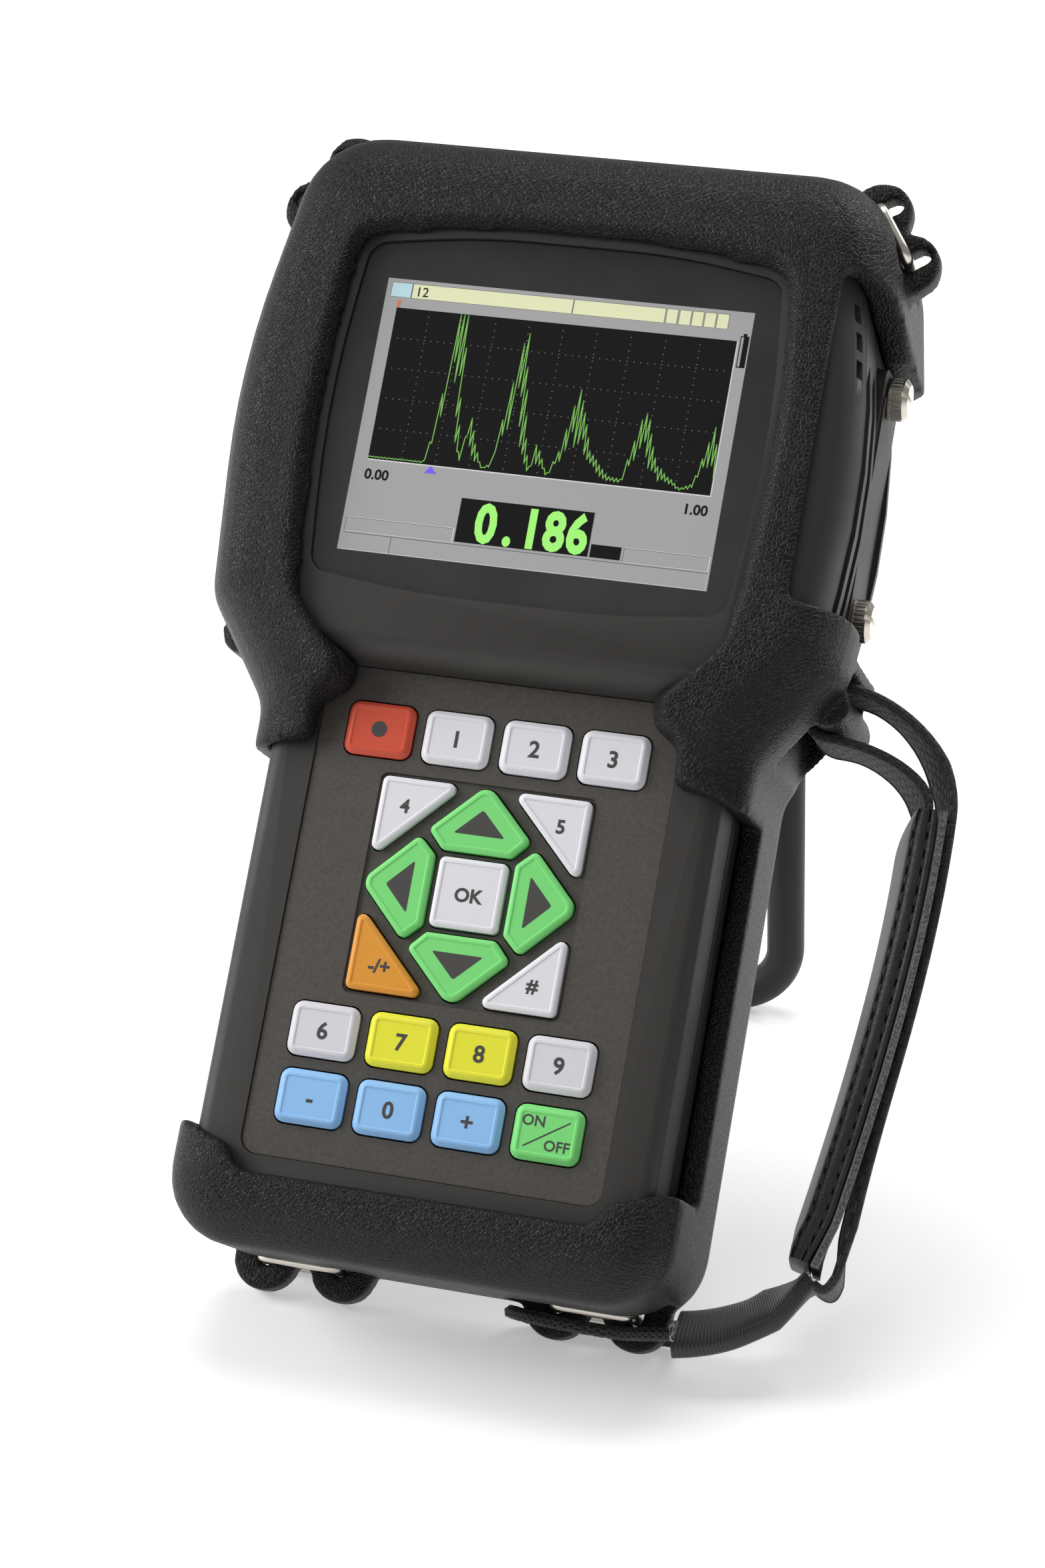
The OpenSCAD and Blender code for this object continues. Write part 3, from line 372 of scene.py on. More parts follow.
# The sweep: a first echo that fills the height, then weaker ones at equal steps, each with a tail.
# Each point of its upper edge gives the share of the graph's width and the share of its height.
crests = ((0, 0.012), (0.165, 0.012), (0.18, 0.3), (0.195, 1.2), (0.224, 1.2), (0.23, 0.6), (0.265, 0.04),
          (0.28, 0.38), (0.3, 0.2), (0.335, 0.012), (0.36, 0.05), (0.375, 0.4), (0.4, 1.0), (0.425, 0.6),
          (0.447, 0.28), (0.47, 0.03), (0.485, 0.22), (0.525, 0.012), (0.549, 0.17), (0.582, 0.63),
          (0.61, 0.42), (0.64, 0.2), (0.7, 0.05), (0.74, 0.04), (0.779, 0.54), (0.8, 0.4), (0.835, 0.16),
          (0.91, 0.02), (0.945, 0.06), (0.983, 0.45), (1, 0.3))
draw = random.Random(7)
trace = bmesh.new()
points = []
columns = 180
for i in range(columns + 1):
    share = i / columns
    (u0, v0), (u1, v1) = next(pair for pair in zip(crests, crests[1:]) if pair[1][0] >= share)
    level = v0 + (v1 - v0) * (share - u0) / (u1 - u0)
    # The signal swings quickly between the upper edge and about half of it
    swing = draw.uniform(0.92, 1.0) if i % 2 else draw.uniform(0.36, 0.66)
    points.append((graph_left + (graph_right - graph_left) * share,
                   min(graph_high, graph_low + 0.15 + level * swing * (graph_high - graph_low))))
line_half, overlap = 0.09, 0.2
for (x0, y0), (x1, y1) in zip(points, points[1:]):
    half = (math.hypot(x1 - x0, y1 - y0) + overlap) / 2
    x, y = (x0 + x1) / 2, (y0 + y1) / 2
    bar(trace, x - half, x + half, y - line_half, y + line_half, math.atan2(y1 - y0, x1 - x0))
print_on("screen_trace", trace, 0.08, lcd_trace)
marker = bmesh.new()
marker_place = Matrix.Translation((-21.5, -10.5, 0)) @ Matrix.Diagonal((1.1, 0.75, 1, 1))
bmesh.ops.create_circle(marker, cap_ends=True, segments=3, radius=1.3, matrix=marker_place)
print_on("screen_marker", marker, 0.06, lcd_marker)
tick = bmesh.new()
bar(tick, -34.7, -34.1, 22.2, 23.7)
print_on("screen_tick", tick, 0.06, lcd_tick)
digit_step = 4.65
for i, sign in enumerate("0.186"):
    letters("screen_reading_%d" % i, sign, 7.7, -8.3 + digit_step * i, -23.5, 0.08, lcd_digit,
            weight=0.42, stretch=0.8)
letters("screen_low_end", "0.00", 2.1, -34.8, -13.4, 0.05, lcd_dark, weight=0.07, align="LEFT")
letters("screen_high_end", "1.00", 2.1, 35.1, -13.4, 0.05, lcd_dark, weight=0.07, align="RIGHT")
letters("screen_file_number", "12", 2.0, -31.4, 24.8, 0.07, lcd_dark, weight=0.01, align="LEFT")

# The keypad
# A grained polyester overlay covers the deck, with silicone rubber keys standing through it.
# Each key is moulded in its own colour with a raised rim, and its sign is printed in dark grey.
overlay_film, shader = finish("grained polyester overlay", "#403c38", 0.6, IOR=1.57)
place = add(overlay_film, "TexCoord")
speck = add(overlay_film, "TexNoise",
            {"Vector": place.outputs["Object"], "Scale": 1 / 0.0008, "Detail": 4, "Roughness": 0.7})
tint = add(overlay_film, "ValToRGB", {0: speck.outputs[0]})
tint.color_ramp.elements[0].position = 0.3
tint.color_ramp.elements[0].color = linear("#37342f")
tint.color_ramp.elements[1].position = 0.7
tint.color_ramp.elements[1].color = linear("#4a4540")
join(overlay_film, tint.outputs[0], shader, "Base Color")
relief = add(overlay_film, "Bump", {"Height": speck.outputs[0], "Strength": 0.25, "Distance": 0.0001})
join(overlay_film, relief.outputs[0], shader, "Normal")
coat("keypad_overlay", overlay_film)
board, shader = finish("green solder lacquer on epoxy glass", "#1d5a38", 0.35)
place = add(board, "TexCoord")
weave = add(board, "TexNoise", {"Vector": place.outputs["Object"], "Scale": 1 / 0.003, "Detail": 3})
tint = add(board, "ValToRGB", {0: weave.outputs[0]})
tint.color_ramp.elements[0].color = linear("#174a2e")
tint.color_ramp.elements[1].color = linear("#236a43")
join(board, tint.outputs[0], shader, "Base Color")
for node in ("keypad_board", "main_board"):
    coat(node, board)


def silicone(name, colour):
    """Pad-printed silicone rubber: even colour with a faint cloud from handling, slightly see-through."""
    material, surface = finish(name, colour, 0.42, IOR=1.43, Subsurface_Weight=0.08, Subsurface_Scale=0.0015)
    where = add(material, "TexCoord")
    cloud = add(material, "TexNoise", {"Vector": where.outputs["Object"], "Scale": 1 / 0.006, "Detail": 4})
    level = add(material, "MapRange",
                {"Value": cloud.outputs[0], "From Min": 0.3, "From Max": 0.7, "To Min": 0.36, "To Max": 0.5})
    join(material, level.outputs[0], surface, "Roughness")
    skin = add(material, "TexNoise", {"Vector": where.outputs["Object"], "Scale": 1 / 0.0006, "Detail": 2})
    dent = add(material, "Bump", {"Height": skin.outputs[0], "Strength": 0.12, "Distance": 0.0001})
    join(material, dent.outputs[0], surface, "Normal")
    return material


rubber_colours = {"key_red": "#d4543c", "key_white": "#e6e5ea", "key_orange": "#e29a36",
                  "key_green": "#7fe07e", "key_grey": "#dcdbe0", "key_yellow": "#ecea3a",
                  "key_blue": "#93c4f4"}
key_rubber = {slot: silicone(slot.replace("key_", "") + " silicone rubber", colour)
              for slot, colour in rubber_colours.items()}
key_slots = {part["node"]: part["material_slot"] for part in frame["record"]["subparts"]
             if part["node"].startswith("key_")}
face_way = (face_frame.to_3x3() @ Vector((0, 0, 1))).normalized()
for node, slot in key_slots.items():
    key = bmesh.new()
    key.from_mesh(nodes[node].data)
    bmesh.ops.remove_doubles(key, verts=key.verts, dist=1e-6)
    bmesh.ops.dissolve_limit(key, angle_limit=math.radians(0.5), verts=key.verts, edges=key.edges)
    key.faces.ensure_lookup_table()
    top = max(key.faces, key=lambda f: (f.calc_center_median().dot(face_way)
                                        if f.normal.dot(face_way) > 0.99 else -1))
    bmesh.ops.bevel(key, geom=list(top.edges), offset=0.00025, offset_type="OFFSET", affect="EDGES",
                    segments=2, profile=0.5, material=-1)
    key.faces.ensure_lookup_table()
    top = max(key.faces, key=lambda f: f.calc_area() if f.normal.dot(face_way) > 0.999 else -1)
    # A rim round the printed panel
    bmesh.ops.inset_individual(key, faces=[top], thickness=0.0003, depth=0)
    bmesh.ops.inset_individual(key, faces=[top], thickness=0.0002, depth=-0.00016)
    shown(node + "_cap", node, key, 28, key_rubber[slot])

key_print = ink("dark grey pad print", "#4c4a48", roughness=0.5)
row_top, cluster_top = -5.64, -5.94
key_pitch, first_row, third_row, last_row = 15.85, -61.9, -122.05, -135.3
for node, sign, column, y in (("key_number", "1", 1, first_row), ("key_file", "2", 2, first_row),
                              ("key_second", "3", 3, first_row),
                              ("key_probe", "6", 0, third_row), ("key_velocity", "7", 1, third_row),
                              ("key_zero", "8", 2, third_row), ("key_setup", "9", 3, third_row),
                              ("key_screen", "-", 0, last_row), ("key_range", "0", 1, last_row),
                              ("key_zoom", "+", 2, last_row)):
    letters(node + "_sign", sign, 3.3, (column - 1.5) * key_pitch, y - 1.65, row_top, key_print,
            node, weight=0.12)
disc = bmesh.new()
disc_place = Matrix.Translation((-1.5 * key_pitch, first_row, 0))
bmesh.ops.create_circle(disc, cap_ends=True, segments=32, radius=1.6, matrix=disc_place)
print_on("key_measure_sign", disc, row_top, key_print, "key_measure")
letters("key_power_on", "ON", 2.1, 20.9, -134.0, row_top, key_print, "key_power", weight=0.06)
letters("key_power_off", "OFF", 2.1, 26.1, -138.4, row_top, key_print, "key_power", weight=0.06)
slash = bmesh.new()
bar(slash, 18.7, 28.9, -135.45, -135.15, math.radians(33))
print_on("key_power_slash", slash, row_top, key_print, "key_power")
middle_y = -91.9
for node, turn in (("key_up", 0), ("key_left", 90), ("key_down", 180), ("key_right", 270)):
    arrow = bmesh.new()
    bmesh.ops.create_circle(arrow, cap_ends=True, segments=3, radius=1)
    for vert, (x, y) in zip(arrow.verts, ((0, 16.8), (-5.2, 11.7), (5.2, 11.7))):
        vert.co = (x, y, 0)
    bmesh.ops.bevel(arrow, geom=list(arrow.verts), offset=0.5, offset_type="OFFSET", affect="VERTICES",
                    segments=3, profile=0.5, material=-1)
    bmesh.ops.recalc_face_normals(arrow, faces=arrow.faces)
    arrow_place = Matrix.Translation((0, middle_y, 0)) @ Matrix.Rotation(math.radians(turn), 4, "Z")
    bmesh.ops.transform(arrow, matrix=arrow_place, verts=arrow.verts)
    print_on(node + "_arrow", arrow, cluster_top, key_print, node)
for node, text, x, y in (("key_save", "4", -15.8, -77.6), ("key_freeze", "5", 15.8, -77.6),
                         ("key_gain", "-/+", -15.0, -109.4), ("key_wave", "#", 15.8, -108.9),
                         ("key_enter", "OK", 0, -93.4)):
    letters(node + "_sign", text, 2.7, x, y, cluster_top, key_print, node, weight=0.12)

# The side door and the sockets
# A small ABS door covers the data and card sockets on the right. Two knurled brass screws,
# nickel plated, hold it shut. Nickel-plated probe sockets stand on the top end.
nickel, shader = finish("satin nickel plate", "#cfcac0", 0.22, Metallic=1)
place = add(nickel, "TexCoord")
scuff = add(nickel, "TexNoise", {"Vector": place.outputs["Object"], "Scale": 1 / 0.004, "Detail": 3})
shine = add(nickel, "MapRange",
            {"Value": scuff.outputs[0], "From Min": 0.3, "From Max": 0.7, "To Min": 0.2, "To Max": 0.28})
join(nickel, shine.outputs[0], shader, "Roughness")
merged("side_door_panel", "side_door", 30, abs_case)
for node in ("door_screw_upper", "door_screw_lower", "probe_socket_left", "probe_socket_right"):
    merged(node + "_turned", node, 30, nickel)
merged("power_socket_moulding", "power_socket", 30, abs_case)
battery_film, shader = finish("blue shrink film", "#2f4a78", 0.25, Coat_Weight=0.3)
place = add(battery_film, "TexCoord")
crinkle = add(battery_film, "TexNoise", {"Vector": place.outputs["Object"], "Scale": 1 / 0.008, "Detail": 3})
relief = add(battery_film, "Bump", {"Height": crinkle.outputs[0], "Strength": 0.2, "Distance": 0.0005})
join(battery_film, relief.outputs[0], shader, "Normal")
coat("battery_pack", battery_film)
coat("beeper", abs_case)

# The rubber boot
# A thick jacket of black rubber, moulded in one piece with a leather grain and stretched over the case.
# Its edges are all soft, and a faint bloom varies its black.
boot_shape = bmesh.new()
boot_shape.from_mesh(nodes["boot"].data)
bmesh.ops.remove_doubles(boot_shape, verts=boot_shape.verts, dist=1e-6)
boot_data = bpy.data.meshes.new("boot_solid")
boot_shape.to_mesh(boot_data)
boot_shape.free()
boot_solid = bpy.data.objects.new("boot_solid", boot_data)
voxels = boot_solid.modifiers.new("voxels", "REMESH")
voxels.mode = "VOXEL"
voxels.voxel_size = 0.0008
soften = boot_solid.modifiers.new("soften", "SMOOTH")
soften.factor = 0.5
soften.iterations = 9
thin_out = boot_solid.modifiers.new("thin_out", "DECIMATE")
thin_out.ratio = 0.34
soft_boot = baked(boot_solid)
boot_rubber, shader = finish("leather-grained black rubber", "#111111", 0.42, IOR=1.5,
                             Specular_IOR_Level=0.28)
place = add(boot_rubber, "TexCoord")
# Flat grain cells of about 0.8 mm with narrow wrinkles between them, and a fine tooth on top
bend = add(boot_rubber, "TexNoise", {"Vector": place.outputs["Object"], "Scale": 1 / 0.0015, "Detail": 2})
shift = add(boot_rubber, "VectorMath", {0: bend.outputs["Color"], 1: (0.0005, 0.0005, 0.0005)},
            operation="MULTIPLY")
moved = add(boot_rubber, "VectorMath", {0: place.outputs["Object"], 1: shift.outputs[0]}, operation="ADD")
cells = add(boot_rubber, "TexVoronoi", {"Vector": moved.outputs[0], "Scale": 1 / 0.0008},
            feature="DISTANCE_TO_EDGE")
plateau = add(boot_rubber, "MapRange", {"Value": cells.outputs["Distance"], "From Min": 0, "From Max": 0.22},
              interpolation_type="SMOOTHSTEP")
tooth = add(boot_rubber, "TexNoise",
            {"Vector": place.outputs["Object"], "Scale": 1 / 0.0004, "Detail": 3, "Roughness": 0.6})
grain = add(boot_rubber, "Math", {0: tooth.outputs[0], 1: 0.7, 2: plateau.outputs[0]},
            operation="MULTIPLY_ADD")
relief = add(boot_rubber, "Bump", {"Height": grain.outputs[0], "Strength": 0.65, "Distance": 0.00025})
join(boot_rubber, relief.outputs[0], shader, "Normal")
bloom = add(boot_rubber, "TexNoise",
            {"Vector": place.outputs["Object"], "Scale": 1 / 0.018, "Detail": 5, "Roughness": 0.6})
tint = add(boot_rubber, "ValToRGB", {0: bloom.outputs[0]})
tint.color_ramp.elements[0].position = 0.3
tint.color_ramp.elements[0].color = linear("#0c0c0c")
tint.color_ramp.elements[1].position = 0.75
tint.color_ramp.elements[1].color = linear("#161615")
join(boot_rubber, tint.outputs[0], shader, "Base Color")
shown("boot_jacket", "boot", soft_boot, 180, boot_rubber)

# Rings and stand
# Bent nickel-plated wire rings hang in the lugs. The stand is one loop of black nylon bar whose pins
# snap into a bracket on the boot's back.
for corner in ("top_left", "top_right", "bottom_left", "bottom_right"):
    merged("ring_%s_wire" % corner, "ring_" + corner, 30, nickel)
nylon, shader = finish("black moulded nylon", "#121212", 0.48, IOR=1.53, Specular_IOR_Level=0.3)
place = add(nylon, "TexCoord")
fleck = add(nylon, "TexNoise", {"Vector": place.outputs["Object"], "Scale": 1 / 0.0012, "Detail": 4})
relief = add(nylon, "Bump", {"Height": fleck.outputs[0], "Strength": 0.2, "Distance": 0.0002})
join(nylon, relief.outputs[0], shader, "Normal")
tint = add(nylon, "ValToRGB", {0: fleck.outputs[0]})
tint.color_ramp.elements[0].color = linear("#0e0e0e")
tint.color_ramp.elements[1].color = linear("#171717")
join(nylon, tint.outputs[0], shader, "Base Color")
merged("stand_bail", "stand", 30, nylon)
merged("stand_bracket_block", "stand_bracket", 30, nylon)

# The hand strap
# Black nylon webbing is looped round the post and runs down outside a pad of leather folded over felt
# and stitched along its edges. A satin sleeve joins its end to a braided cord round the lower lug.
post = Vector((60.5, -43, -33.5))
lug = Vector((30.5, -164.8, -48))
pad_length, web_width, web_thick, pad_half = 89, 16, 1.5, 3.7
# The pad narrows by this share from its top to its bottom
pad_taper = 0.06


def cubic(a, b, c, d, steps):
    """Points along a cubic curve from a to d."""
    shares = [i / steps for i in range(steps + 1)]
    return [a * (1 - s) ** 3 + b * 3 * s * (1 - s) ** 2 + c * 3 * s * s * (1 - s) + d * s ** 3
            for s in shares]


def spot(path, share):
    """A point on a path and the direction there; share goes from 0 at its start to 1 at its end."""
    last = len(path) - 1

    def at(place):
        i = min(max(int(place), 0), last - 1)
        return path[i].lerp(path[i + 1], place - i)

    place = share * last
    return at(place), (at(min(place + 0.6, last)) - at(max(place - 0.6, 0))).normalized()


def beside(way):
    return Vector((-way.y, way.x, 0)).normalized()


def strap_point(path, share, across, depth):
    """A point on a band: across its thickness and in depth from its middle line. Away from the post and
    the sleeve the band is twisted, its front edge outwards and up."""
    middle, way = spot(path, share)
    past_post = (middle - post).length - 7
    above_sleeve = middle.y + 158
    twist_run = 16
    twist = min(max(past_post / twist_run, 0), 1) * min(max(above_sleeve / twist_run, 0), 1)
    return middle + beside(way) * across + Vector((0.28 * twist, 0.1 * twist, 1)) * depth


def swept(path, outline, rings, sides, girth, length):
    """A closed skin along a path: outline gives the places across and in depth, in millimetres, for the
    shares along and around. Its UV layer counts millimetres round and along."""
    shape = bmesh.new()
    run = shape.loops.layers.uv.new("run")
    bmesh.ops.create_grid(shape, x_segments=sides, y_segments=rings, size=0.5, calc_uvs=True)
    for face in shape.faces:
        for corner in face.loops:
            corner[run].uv = ((corner.vert.co.x + 0.5) * girth, (corner.vert.co.y + 0.5) * length)
    for vert in shape.verts:
        along, around = vert.co.y + 0.5, vert.co.x + 0.5
        vert.co = strap_point(path, along, *outline(along, around))
    bmesh.ops.remove_doubles(shape, verts=shape.verts, dist=0.005)
    bmesh.ops.holes_fill(shape, edges=shape.edges)
    bmesh.ops.recalc_face_normals(shape, faces=shape.faces)
    bmesh.ops.transform(shape, matrix=face_frame, verts=shape.verts)
    return shape


def lozenge(half_across, half_depth, power):
    """Outline of a band with rounded edges."""
    def outline(_, around):
        turn = 2 * math.pi * around
        c, s = math.cos(turn), math.sin(turn)
        return (math.copysign(abs(c) ** power, c) * half_across,
                math.copysign(abs(s) ** power, s) * half_depth)
    return outline


pad_top = post + Vector((19.8, -18.6, 0))
pad_bottom = lug + Vector((39.8, 14.8, 9))
pad_path = cubic(pad_top, post + Vector((20.6, -49, 0)), lug + Vector((44.4, 38.8, 11)), pad_bottom, 40)
leather, shader = finish("black saddle leather", "#232120", 0.45, IOR=1.5)
place = add(leather, "TexCoord")
pores = add(leather, "TexVoronoi", {"Vector": place.outputs["Object"], "Scale": 1 / 0.0006}, feature="F1")
crease = add(leather, "TexNoise",
             {"Vector": place.outputs["Object"], "Scale": 1 / 0.004, "Detail": 6, "Roughness": 0.7})
hide = add(leather, "Math", {0: pores.outputs["Distance"], 1: crease.outputs[0]}, operation="ADD")
relief = add(leather, "Bump", {"Height": hide.outputs[0], "Strength": 0.3, "Distance": 0.0002})
join(leather, relief.outputs[0], shader, "Normal")
tint = add(leather, "ValToRGB", {0: crease.outputs[0]})
tint.color_ramp.elements[0].position = 0.35
tint.color_ramp.elements[0].color = linear("#151413")
tint.color_ramp.elements[1].position = 0.75
tint.color_ramp.elements[1].color = linear("#2a2725")
join(leather, tint.outputs[0], shader, "Base Color")
# One edge of the folded leather, from the crowned inside round the roll, two sewn grooves and a strip
fold = [(-3.65, 0), (-3.6, 5), (-3.5, 8.5), (-3.3, 10.6), (-3.0, 11.3), (-2.7, 10.95), (-2.4, 11.5),
        (-1.6, 11.85), (-0.7, 11.8), (-0.3, 11.6), (0.0, 11.1), (0.3, 11.6), (0.9, 11.75), (1.4, 11.6),
        (1.65, 11.0), (1.65, 7), (1.65, 0)]
loop = fold + [(a, -d) for a, d in reversed(fold[1:-1])] + [fold[0]]


def pad_outline(along, around):
    place = around * (len(loop) - 1)
    i = min(int(place), len(loop) - 2)
    (a0, d0), (a1, d1) = loop[i], loop[i + 1]
    # The leather pinches a little at both ends, where the webbing is sewn in
    pinch = 1 - 0.22 * max(0, 1 - min(along, 1 - along) / 0.06) ** 2
    return (a0 + (a1 - a0) * (place - i)) * pinch, (d0 + (d1 - d0) * (place - i)) * (1 - pad_taper * along)


pad_skin = swept(pad_path, pad_outline, 60, 2 * len(loop) - 2, 62, pad_length)
pad = shown("strap_pad_leather", "strap_pad", pad_skin, 40, leather)

felt, shader = finish("grey pressed felt", "#4b4a48", 0.95, Sheen_Weight=0.4)
place = add(felt, "TexCoord")
fibre = add(felt, "TexNoise",
            {"Vector": place.outputs["Object"], "Scale": 1 / 0.0005, "Detail": 5, "Roughness": 0.8})
tint = add(felt, "ValToRGB", {0: fibre.outputs[0]})
tint.color_ramp.elements[0].position = 0.4
tint.color_ramp.elements[0].color = linear("#2b2a29")
tint.color_ramp.elements[1].position = 0.68
tint.color_ramp.elements[1].color = linear("#8b8a87")
join(felt, tint.outputs[0], shader, "Base Color")
relief = add(felt, "Bump", {"Height": fibre.outputs[0], "Strength": 0.8, "Distance": 0.0003})
join(felt, relief.outputs[0], shader, "Normal")
flat_side = lozenge(0.85, 11.5, 0.25)
lining = swept(pad_path, lambda s, t: (2.6 + flat_side(s, t)[0], flat_side(s, t)[1]), 40, 24, 50, pad_length)
shown("strap_pad_felt", None, lining, 40, felt, "gauge")

# Stitches of waxed thread lie in the two grooves of each edge
# The thread is coloured dark grey instead of black, a painted sheen that lets the stitches show on the
# leather
thread, shader = finish("black waxed thread painted grey for sheen", "#2e2c2a", 0.35)
place = add(thread, "TexCoord")
twist = add(thread, "TexNoise", {"Vector": place.outputs["Object"], "Scale": 1 / 0.0003, "Detail": 2})
shine = add(thread, "MapRange", {"Value": twist.outputs[0], "To Min": 0.28, "To Max": 0.45})
join(thread, shine.outputs[0], shader, "Roughness")
stitches = bmesh.new()
stitch_pitch = 3.3
stitch_shape = Matrix.Diagonal((1.25, 0.27, 0.3, 1))
count = int(pad_length / stitch_pitch)
for groove, depth in ((-2.7, 11.1), (0.0, 11.25)):
    for edge in (-1, 1):
        for i in range(1, count):
            centre = strap_point(pad_path, i / count, groove, edge * depth * (1 - pad_taper * i / count))
            turn = spot(pad_path, i / count)[1].to_track_quat("X", "Z").to_matrix().to_4x4()
            bmesh.ops.create_uvsphere(stitches, u_segments=8, v_segments=5, radius=1,
                                      matrix=Matrix.Translation(centre) @ turn @ stitch_shape)
bmesh.ops.transform(stitches, matrix=face_frame, verts=stitches.verts)
shown("strap_pad_stitches", None, stitches, 180, thread, "gauge")

nylon_web, shader = finish("woven black nylon webbing", "#2b2826", 0.7, Sheen_Weight=0.3,
                           Sheen_Roughness=0.4)
run = add(nylon_web, "UVMap", uv_map="run")
# Ribs 1.5 mm apart across the webbing, each of picks about 1 mm wide
weave = add(nylon_web, "TexBrick",
            {"Vector": run.outputs[0], "Color1": linear("#332f2c"), "Color2": linear("#26231f"),
             "Mortar": linear("#100f0e"), "Scale": 1, "Mortar Size": 0.22, "Mortar Smooth": 1,
             "Bias": 0, "Brick Width": 1.05, "Row Height": 1.5})
join(nylon_web, weave.outputs["Color"], shader, "Base Color")
relief = add(nylon_web, "Bump", {"Height": weave.outputs["Fac"], "Strength": 0.9, "Distance": 0.0005},
             invert=True)
join(nylon_web, relief.outputs[0], shader, "Normal")
wrap = 5.35
outside = (pad_half + web_thick / 2) + 0.3
loop_turn = [post + wrap * Vector((math.cos(math.radians(a)), math.sin(math.radians(a)), 0))
             for a in range(262, 97, -12)]
run_start = pad_top + beside(spot(pad_path, 0)[1]) * outside
run_down = []
for i in range(1, 21):
    middle, way = spot(pad_path, i / 20)
    # Near its lower end the webbing stands off the pad before it turns into the sleeve
    run_down.append(middle + beside(way) * (outside + 2.6 * max(0, (i / 20 - 0.55) / 0.45) ** 2))
hook = cubic(run_down[-1], run_down[-1] + Vector((-0.9, -2.8, 0)), lug + Vector((45.6, 9.6, 9)),
             lug + Vector((43, 11.4, 9)), 8)
to_post = cubic(pad_top + Vector((0, 0.3, 0)), post + Vector((20, -11.5, 0)),
                post + Vector((9.5, -wrap, 0)), post + Vector((0, -wrap, 0)), 14)
from_post = cubic(post + Vector((0, wrap, 0)), post + Vector((11, wrap + 0.6, 0)),
                  run_start + Vector((-0.3, 13, 0)), run_start, 16)
web_path = to_post + loop_turn + from_post + run_down + hook[1:]
web_length = sum((b - a).length for a, b in zip(web_path, web_path[1:]))
web = swept(web_path, lozenge(web_thick / 2, web_width / 2, 0.3), 240, 28, 34, web_length)
shown("strap_webbing_band", "strap_webbing", web, 60, nylon_web)
# The woven edges are thicker, like a fine rope
for edge, side in ((-1, "back"), (1, "front")):
    selvedge = swept(web_path, lambda s, t: (0.95 * math.cos(2 * math.pi * t),
                                             edge * 7.5 + 0.8 * math.sin(2 * math.pi * t)),
                     240, 10, 5.6, web_length)
    shown("strap_webbing_edge_" + side, None, selvedge, 60, nylon_web, "gauge")

satin, shader = finish("black ribbed satin tape", "#1b1a1a", 0.5, Sheen_Weight=0.4, Anisotropic=0.4)
run = add(satin, "UVMap", uv_map="run")
# Ribs about 0.6 mm apart across the tape
rib = add(satin, "TexWave", {"Vector": run.outputs[0], "Scale": 0.5, "Distortion": 0.3, "Detail": 1},
          bands_direction="Y")
# Painted shade and sheen: the tape's colour is lighter on the rib crests and darker in the hollows between
# them
tint = add(satin, "ValToRGB", {0: rib.outputs[0]})
tint.color_ramp.elements[0].color = linear("#121111")
tint.color_ramp.elements[1].color = linear("#2c2b2a")
join(satin, tint.outputs[0], shader, "Base Color")
relief = add(satin, "Bump", {"Height": rib.outputs[0], "Strength": 0.5, "Distance": 0.0003})
join(satin, relief.outputs[0], shader, "Normal")
sleeve_bends = ((42.3, 12.6), (36.5, 7.2), (31.5, 0.6), (17.5, -1.8))
sleeve_path = cubic(*[lug + Vector((x, y, 9)) for x, y in sleeve_bends], 30)
sleeve_length = 32


def sleeve_outline(along, around):
    across, depth = lozenge(2.3, 7.5, 0.55)(along, around)
    # The tape is gathered in the middle, and its front edge is turned up on the way to the lug
    waist = 1 - 0.08 * math.exp(-((along - 0.55) / 0.12) ** 2)
    tilt = math.radians(32 * min(1, along / 0.4))
    return (across * math.cos(tilt) + depth * waist * math.sin(tilt),
            depth * waist * math.cos(tilt) - across * math.sin(tilt))


sleeve = swept(sleeve_path, sleeve_outline, 60, 40, 42, sleeve_length)
shown("strap_sleeve_tape", "strap_sleeve", sleeve, 60, satin)
fray, shader = finish("frayed pale tape edge", "#8f8c88", 0.9)
place = add(fray, "TexCoord")
wisps = add(fray, "TexNoise", {"Vector": place.outputs["Object"], "Scale": 1 / 0.0006, "Detail": 4})
tint = add(fray, "ValToRGB", {0: wisps.outputs[0]})
tint.color_ramp.elements[0].position = 0.42
tint.color_ramp.elements[0].color = linear("#2a2928")
tint.color_ramp.elements[1].position = 0.6
tint.color_ramp.elements[1].color = linear("#c9c6c1")
join(fray, tint.outputs[0], shader, "Base Color")
for label, start in (("upper", 0.0), ("lower", 0.985)):
    end_path = [spot(sleeve_path, start + 0.015 * i / 3)[0] for i in range(4)]
    hem = swept(end_path, lozenge(2.42, 7.62, 0.55), 3, 40, 42, 0.5)
    shown("strap_sleeve_edge_" + label, None, hem, 60, fray, "gauge")

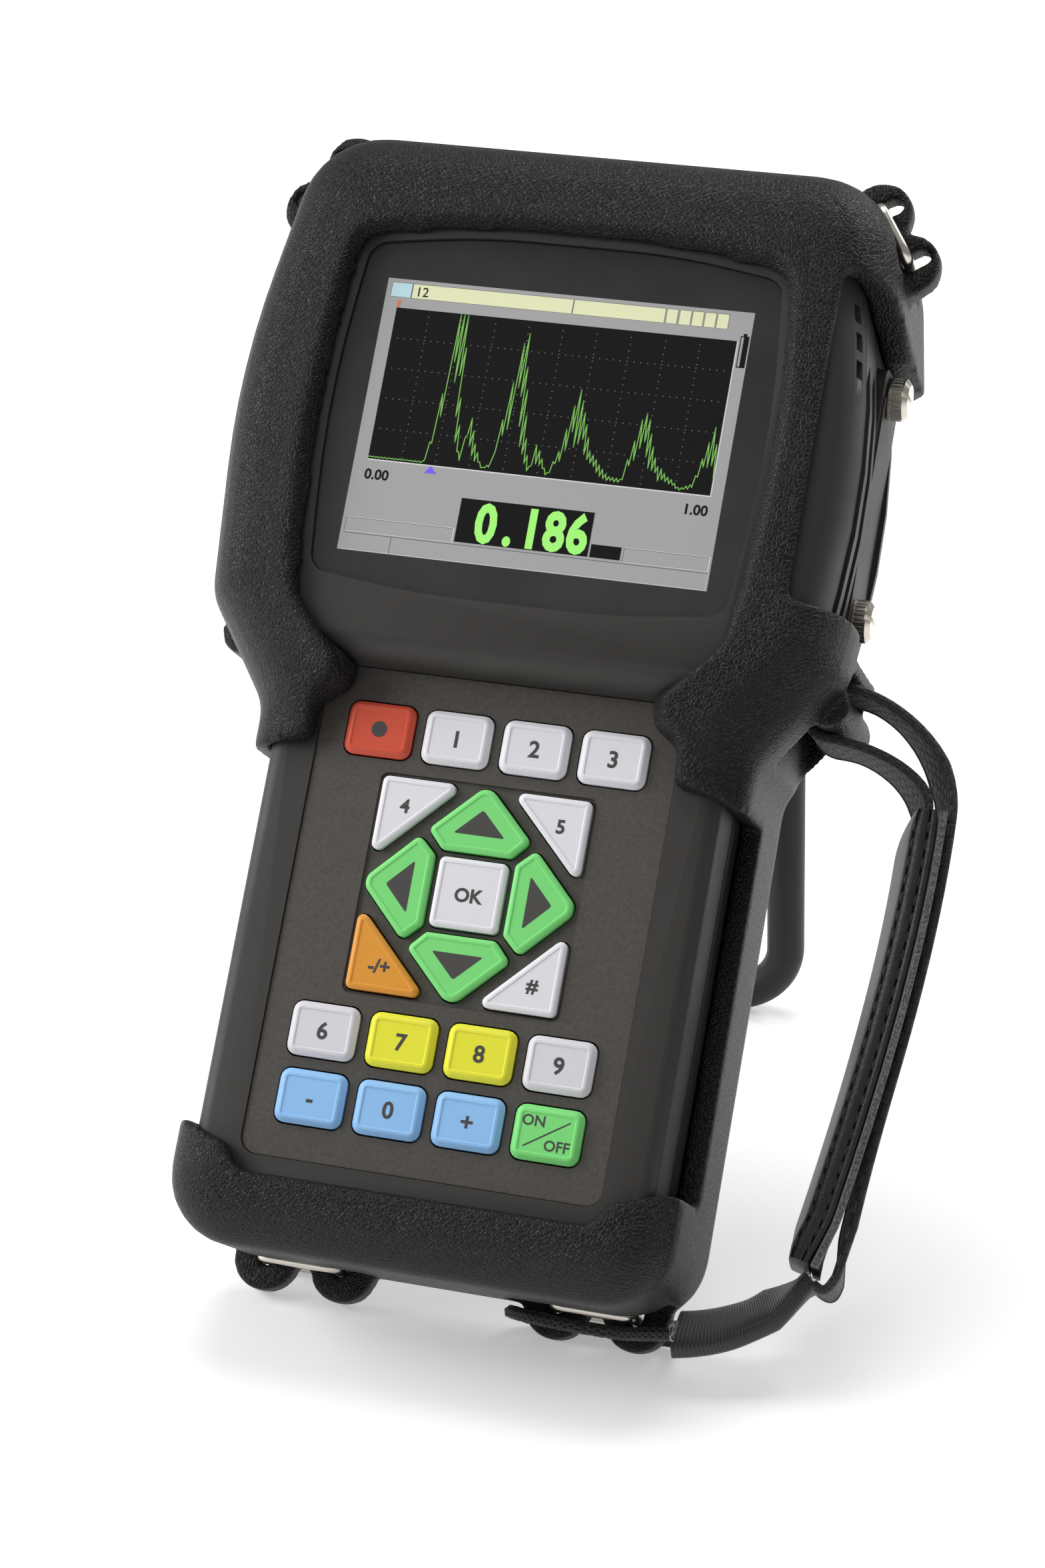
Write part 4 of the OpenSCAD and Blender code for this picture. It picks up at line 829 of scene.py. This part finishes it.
# The cord: twelve braided strands, six each way round
cord_fibre, shader = finish("braided black polyester", "#171616", 0.55, Sheen_Weight=0.25)
place = add(cord_fibre, "TexCoord")
yarn = add(cord_fibre, "TexNoise", {"Vector": place.outputs["Object"], "Scale": 1 / 0.0004, "Detail": 3})
tint = add(cord_fibre, "ValToRGB", {0: yarn.outputs[0]})
tint.color_ramp.elements[0].color = linear("#0f0f0f")
tint.color_ramp.elements[1].color = linear("#2b2a29")
join(cord_fibre, tint.outputs[0], shader, "Base Color")
route = [lug + Vector(p) for p in (
    (17.6, -2.1, 11.8), (11.5, -2.8, 9.4), (5.5, -3.4, 8), (-5.5, -3.4, 8), (-12.5, -3, 7.8),
    (-16.3, -2.6, 6), (-17.5, -2.5, 3), (-16.3, -2.6, -0.2), (-12.5, -2.9, -1.6), (-4.5, -2.9, -1.6),
    (3.5, -2.9, -1.6), (10.5, -2.8, -1.7), (13.7, -2.7, -1.6), (15.4, -2.6, -1), (16.2, -2.5, 0.6),
    (17.4, -2.2, 2.4))]
cord_path = []
for before, a, b, after in zip(route[:1] + route, route, route[1:], route[2:] + route[-1:]):
    # A smooth curve through the listed points
    cord_path += cubic(a, a + (b - before) / 6, b - (after - a) / 6, b, 10)[:-1]
cord_path.append(route[-1])
cord_run = sum((b - a).length for a, b in zip(cord_path, cord_path[1:]))
braid_pitch, braid_radius, strands = 7.0, 0.92, 6
braid = bpy.data.curves.new("braid", "CURVE")
braid.dimensions = "3D"
braid.bevel_depth = 0.36
braid.bevel_resolution = 1
samples = int(cord_run / braid_pitch * 20)
for hand in (-1, 1):
    for strand in range(strands):
        line = braid.splines.new("POLY")
        line.points.add(samples)
        for i, point in enumerate(line.points):
            middle, way = spot(cord_path, i / samples)
            across = way.cross(Vector((0, 1, 0))).normalized()
            over = way.cross(across)
            turns = i / samples * cord_run / braid_pitch
            turn = 2 * math.pi * (hand * turns + strand / strands)
            # Each strand dives under and over the ones that cross it
            radius = braid_radius + 0.12 * hand * math.sin(strands * 2 * math.pi * turns)
            point.co = (middle + (across * math.cos(turn) + over * math.sin(turn)) * radius).to_4d()
cord = baked(bpy.data.objects.new("braid", braid))
bmesh.ops.transform(cord, matrix=face_frame, verts=cord.verts)
shown("strap_cord_braid", "strap_cord", cord, 60, cord_fibre)
